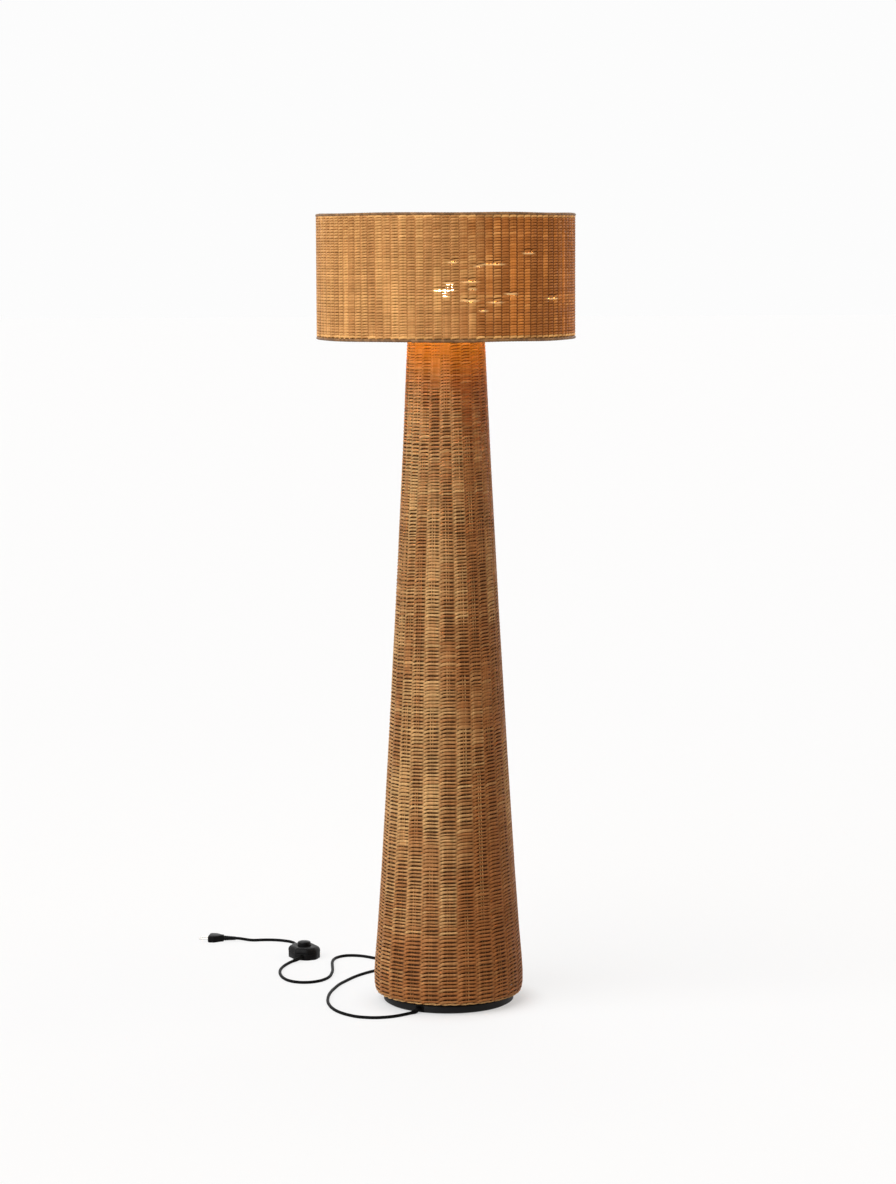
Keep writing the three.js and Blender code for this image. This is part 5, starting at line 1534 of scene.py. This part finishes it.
class LAMP_OT_switch(bpy.types.Operator):
    """Moulds the foot switch: two housing halves, the domed button and its spring"""

    bl_idname = "rattan_lamp.switch"
    bl_label = "Foot switch"

    def execute(self, context):
        colour = context.scene.lamp_colours.plastic
        plastic = matt_plastic("switch_plastic", colour)
        button = matt_plastic("button_plastic", [part * 0.8 for part in colour], rough=0.38)
        place = in_metres(SWITCH_PLACE)
        self.half("switch_tray", self.tray(), self.holes(), 30, plastic, place, "switch_lower")
        well = [
            cylinder(WELL_RADIUS, WELL_RADIUS, 12, 72, Matrix.Translation((0, 0, 25 * MM))),
            cylinder(WELL_RADIUS, WELL_RADIUS + 1.4, 1.4, 72, Matrix.Translation((0, 0, 23.5 * MM))),
        ]
        self.half("switch_cover", self.cover(), self.holes() + well, 32, plastic, place, "switch_upper")
        self.button(button, place)
        self.spring(place)
        return {"FINISHED"}

    def half(self, name, bm, cutters, smooth_angle, finish, place, node):
        """A half of the housing, cut out and put in its place."""
        mesh = cut_by(name, bm, cutters)
        mesh.transform(place)
        mesh.shade_smooth()
        mesh.set_sharp_from_angle(angle=math.radians(smooth_angle))
        add_piece(name, mesh, finish, "stand", "black_plastic", node)

    def holes(self):
        """Round holes for the lead, in at a front corner and out at the back."""
        lying = Matrix.Rotation(math.pi / 2, 4, "Y")
        return [
            cylinder(LEAD_HOLE, LEAD_HOLE, 14, 32, set_at(point * MM, way - SWITCH_TURN) @ lying)
            for point, way in ((SWITCH_INLET, SWITCH_INLET_WAY), (SWITCH_OUTLET, SWITCH_OUTLET_WAY))
        ]

    def tray(self):
        bm = prism(pedal_outline(), 0, TRAY_TOP)
        round_off(bm, climbing_edges(bm), 5, 5)
        round_off(bm, sharp_edges(bm), 0.7, 2)
        return bm

    def cover(self):
        """The crowned half: its sides lean in over the crown's height."""
        bm = prism(pedal_outline(), COVER_FOOT, COVER_SHOULDER)
        for step in range(CROWN_STEPS):
            before, after = [math.pi / 2 * (step + more) / CROWN_STEPS for more in (0, 1)]
            rise = CROWN_RISE * (math.sin(after) - math.sin(before)) * MM
            outline = pedal_outline(CROWN_INSET * (1 - math.cos(after)))
            top = max(bm.faces, key=lambda face: face.calc_center_median().z + (face.normal.z > 0.9))
            made = bmesh.ops.extrude_face_region(bm, geom=[top])
            bmesh.ops.delete(bm, geom=[top], context="FACES_ONLY")
            for corner in corners_in(made):
                at = corner.co.xy
                corner.co.xy = min((Vector(point) * MM for point in outline), key=lambda to: (to - at).length)
                corner.co.z += rise
        bmesh.ops.recalc_face_normals(bm, faces=bm.faces)
        ribs = [edge for edge in climbing_edges(bm, 0.05) if edge.calc_face_angle() > 0.3]
        round_off(bm, ribs, 3.2, 4)
        rims = [edge for edge in sharp_edges(bm) if edge.verts[0].co.z < (COVER_FOOT + 0.7) * MM]
        round_off(bm, rims, 0.5, 2)
        return bm

    def button(self, finish, place):
        """A domed cap with a shallow thumb ring."""
        profile = [
            (0, 8), (2.8, 8), (2.8, 20.1), (15.3, 20.1), (15.3, 21.7), (BUTTON_RADIUS, 21.7),
            (BUTTON_RADIUS, 29.6),
        ]
        for step in range(1, 7):
            angle = math.radians(15 * step)
            profile.append((BUTTON_RADIUS - 2.6 * (1 - math.cos(angle)), 29.6 + 2.8 * math.sin(angle)))
        profile += [(9.8, 32.75), (8.9, 32.75), (8.2, 33.1), (6, 33.55), (3, 33.9), (0, 34)]
        bm = turned(profile, steps=96)
        add_solid("switch_dome", bm, 40, finish, "button", "black_plastic", "switch_button", place=place)

    def spring(self, place):
        """The return spring, its foot over the cam; the real one shortens as the button goes down."""
        low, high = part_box("switch_spring")
        length, wire = high.z - low.z, SPRING_WIRE * MM
        bm = round_wire(SPRING_RADIUS * MM, low.z + wire, wire, sides=8, steps=SPRING_TURNS * 24,
                        turns=SPRING_TURNS, rise=length - 2 * wire)
        steel = bare_metal("spring_steel", STEEL, 0.34)
        piece = add_solid("button_spring", bm, 60, steel, "stand", "steel", "switch_spring", place=place)
        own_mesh(piece)


# The plug's ribbed tail: how many ribs, its length, its radius at the lead's end and how much it widens
TAIL_RIBS = 6
TAIL_LENGTH = 24
TAIL_RADIUS = 3.9
TAIL_GROWTH = 1.6


class LAMP_OT_plug(bpy.types.Operator):
    bl_idname = "rattan_lamp.plug"
    bl_label = "Plug"

    def execute(self, context):
        rubber = matt_plastic("plug_rubber", context.scene.lamp_colours.rubber, 1100.0, 0.5)
        place = in_metres(PLUG_PLACE)
        self.body(rubber, place)
        self.tail(rubber, place)
        self.declare(context.scene)
        return {"FINISHED"}

    def body(self, finish, place):
        half = [(0, 5.4), (5, 6.6), (8.96, 10.4), (17.6, 17.5), (29, 17.5), (32, 14.5)]
        outline = [(x, -y) for x, y in half] + half[::-1]
        bm = prism(outline, -6.85, 6.85)
        round_off(bm, climbing_edges(bm), 1.8, 3)
        round_off(bm, sharp_edges(bm), 2.4, 4)
        add_solid("plug_grip", bm, 30, finish, "stand", "black_rubber", "plug_body", place=place)

    def tail(self, finish, place):
        """The ribbed relief between the plug and the lead."""
        profile = [(3.5, -TAIL_LENGTH)]
        for rib in range(TAIL_RIBS):
            low = TAIL_LENGTH * (rib / TAIL_RIBS - 1)
            radius = TAIL_RADIUS + TAIL_GROWTH * rib / TAIL_RIBS
            profile += [
                (radius, low), (radius, low + 2.4), (radius - 0.7, low + 2.7), (radius - 0.7, low + 3.8),
            ]
        profile += [(5.5, 0.4), (5.5, 3), (3.5, 3)]
        lying = place @ Matrix.Rotation(math.pi / 2, 4, "Y")
        add_solid("plug_tail", turned(profile, steps=40), 35, finish, "stand", "black_rubber", place=lying)

    def declare(self, scene):
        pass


# Pieces whose CAD shape stays


class LAMP_OT_fittings(bpy.types.Operator):
    """Finishes the frame, the pole, the terminals and the other pieces that keep their shape"""

    bl_idname = "rattan_lamp.fittings"
    bl_label = "Fittings"

    def execute(self, context):
        colours = context.scene.lamp_colours
        wire = coated_wire("frame_coat", colours.wire)
        steel = bare_metal("zinc_steel", STEEL, 0.34)
        brass = bare_metal("bright_brass", (0.66, 0.46, 0.16), 0.26)
        nickel = bare_metal("nickel_plate", (0.72, 0.7, 0.66), 0.22)
        aluminium = bare_metal("plain_aluminium", (0.7, 0.71, 0.72), 0.32)
        plastic = matt_plastic("inner_plastic", colours.plastic)
        rubber = soft_rubber("inner_rubber", colours.rubber)
        for finish, nodes in (
            (wire, ("column_frame", "column_spider", "pole_tube")),
            (steel, ("pole_lower_plug", "pole_upper_plug", "pole_washer", "pole_nut", "pole_nipple",
                     "spider_nut", "holder_nipple", "switch_screw_1", "switch_screw_2")),
            (brass, ("holder_contact", "switch_terminal_in", "switch_terminal_out")),
            (nickel, ("holder_sleeve", "bulb_cap", "plug_pin_1", "plug_pin_2")),
            (aluminium, ("bulb_tip",)),
            (plastic, ("bulb_insulator",)),
            (rubber, ("cord_bush", "cord_in_lamp")),
            (glazed_ceramic("white_ceramic"), ("holder_insert", "switch_cam")),
            (lit_filament("lit_filament"), ("bulb_stem",)),
        ):
            for node in nodes:
                for slot in frame["nodes"][node].material_slots:
                    slot.material = finish.material
        return {"FINISHED"}


class LAMP_PT_panel(bpy.types.Panel):
    """Lists the lamp's sizes, colours and steps"""

    bl_idname = "LAMP_PT_panel"
    bl_label = "Rattan floor lamp"
    bl_space_type = "VIEW_3D"
    bl_region_type = "UI"
    bl_category = "Lamp"

    def draw(self, context):
        layout = self.layout
        for step in STEPS:
            layout.operator(step.bl_idname)
        for group in (context.scene.lamp_sizes, context.scene.lamp_colours):
            box = layout.box()
            for name in group.__annotations__:
                box.prop(group, name)


STEPS = (
    LAMP_OT_stage, LAMP_OT_lead, LAMP_OT_base, LAMP_OT_column, LAMP_OT_shade, LAMP_OT_bulb, LAMP_OT_switch,
    LAMP_OT_plug, LAMP_OT_fittings,
)
CLASSES = (LampSizes, LampColours, *STEPS, LAMP_PT_panel)


def register():
    for item in CLASSES:
        bpy.utils.register_class(item)
    bpy.types.Scene.lamp_sizes = PointerProperty(type=LampSizes)
    bpy.types.Scene.lamp_colours = PointerProperty(type=LampColours)


def unregister():
    del bpy.types.Scene.lamp_colours
    del bpy.types.Scene.lamp_sizes
    for item in reversed(CLASSES):
        bpy.utils.unregister_class(item)


def main():
    register()
    bpy.ops.rattan_lamp.stage()
    bpy.ops.rattan_lamp.lead()
    bpy.ops.rattan_lamp.base()
    bpy.ops.rattan_lamp.column()
    bpy.ops.rattan_lamp.shade()
    bpy.ops.rattan_lamp.bulb()
    bpy.ops.rattan_lamp.switch()
    bpy.ops.rattan_lamp.plug()
    bpy.ops.rattan_lamp.fittings()


if __name__ == "__main__":
    main()
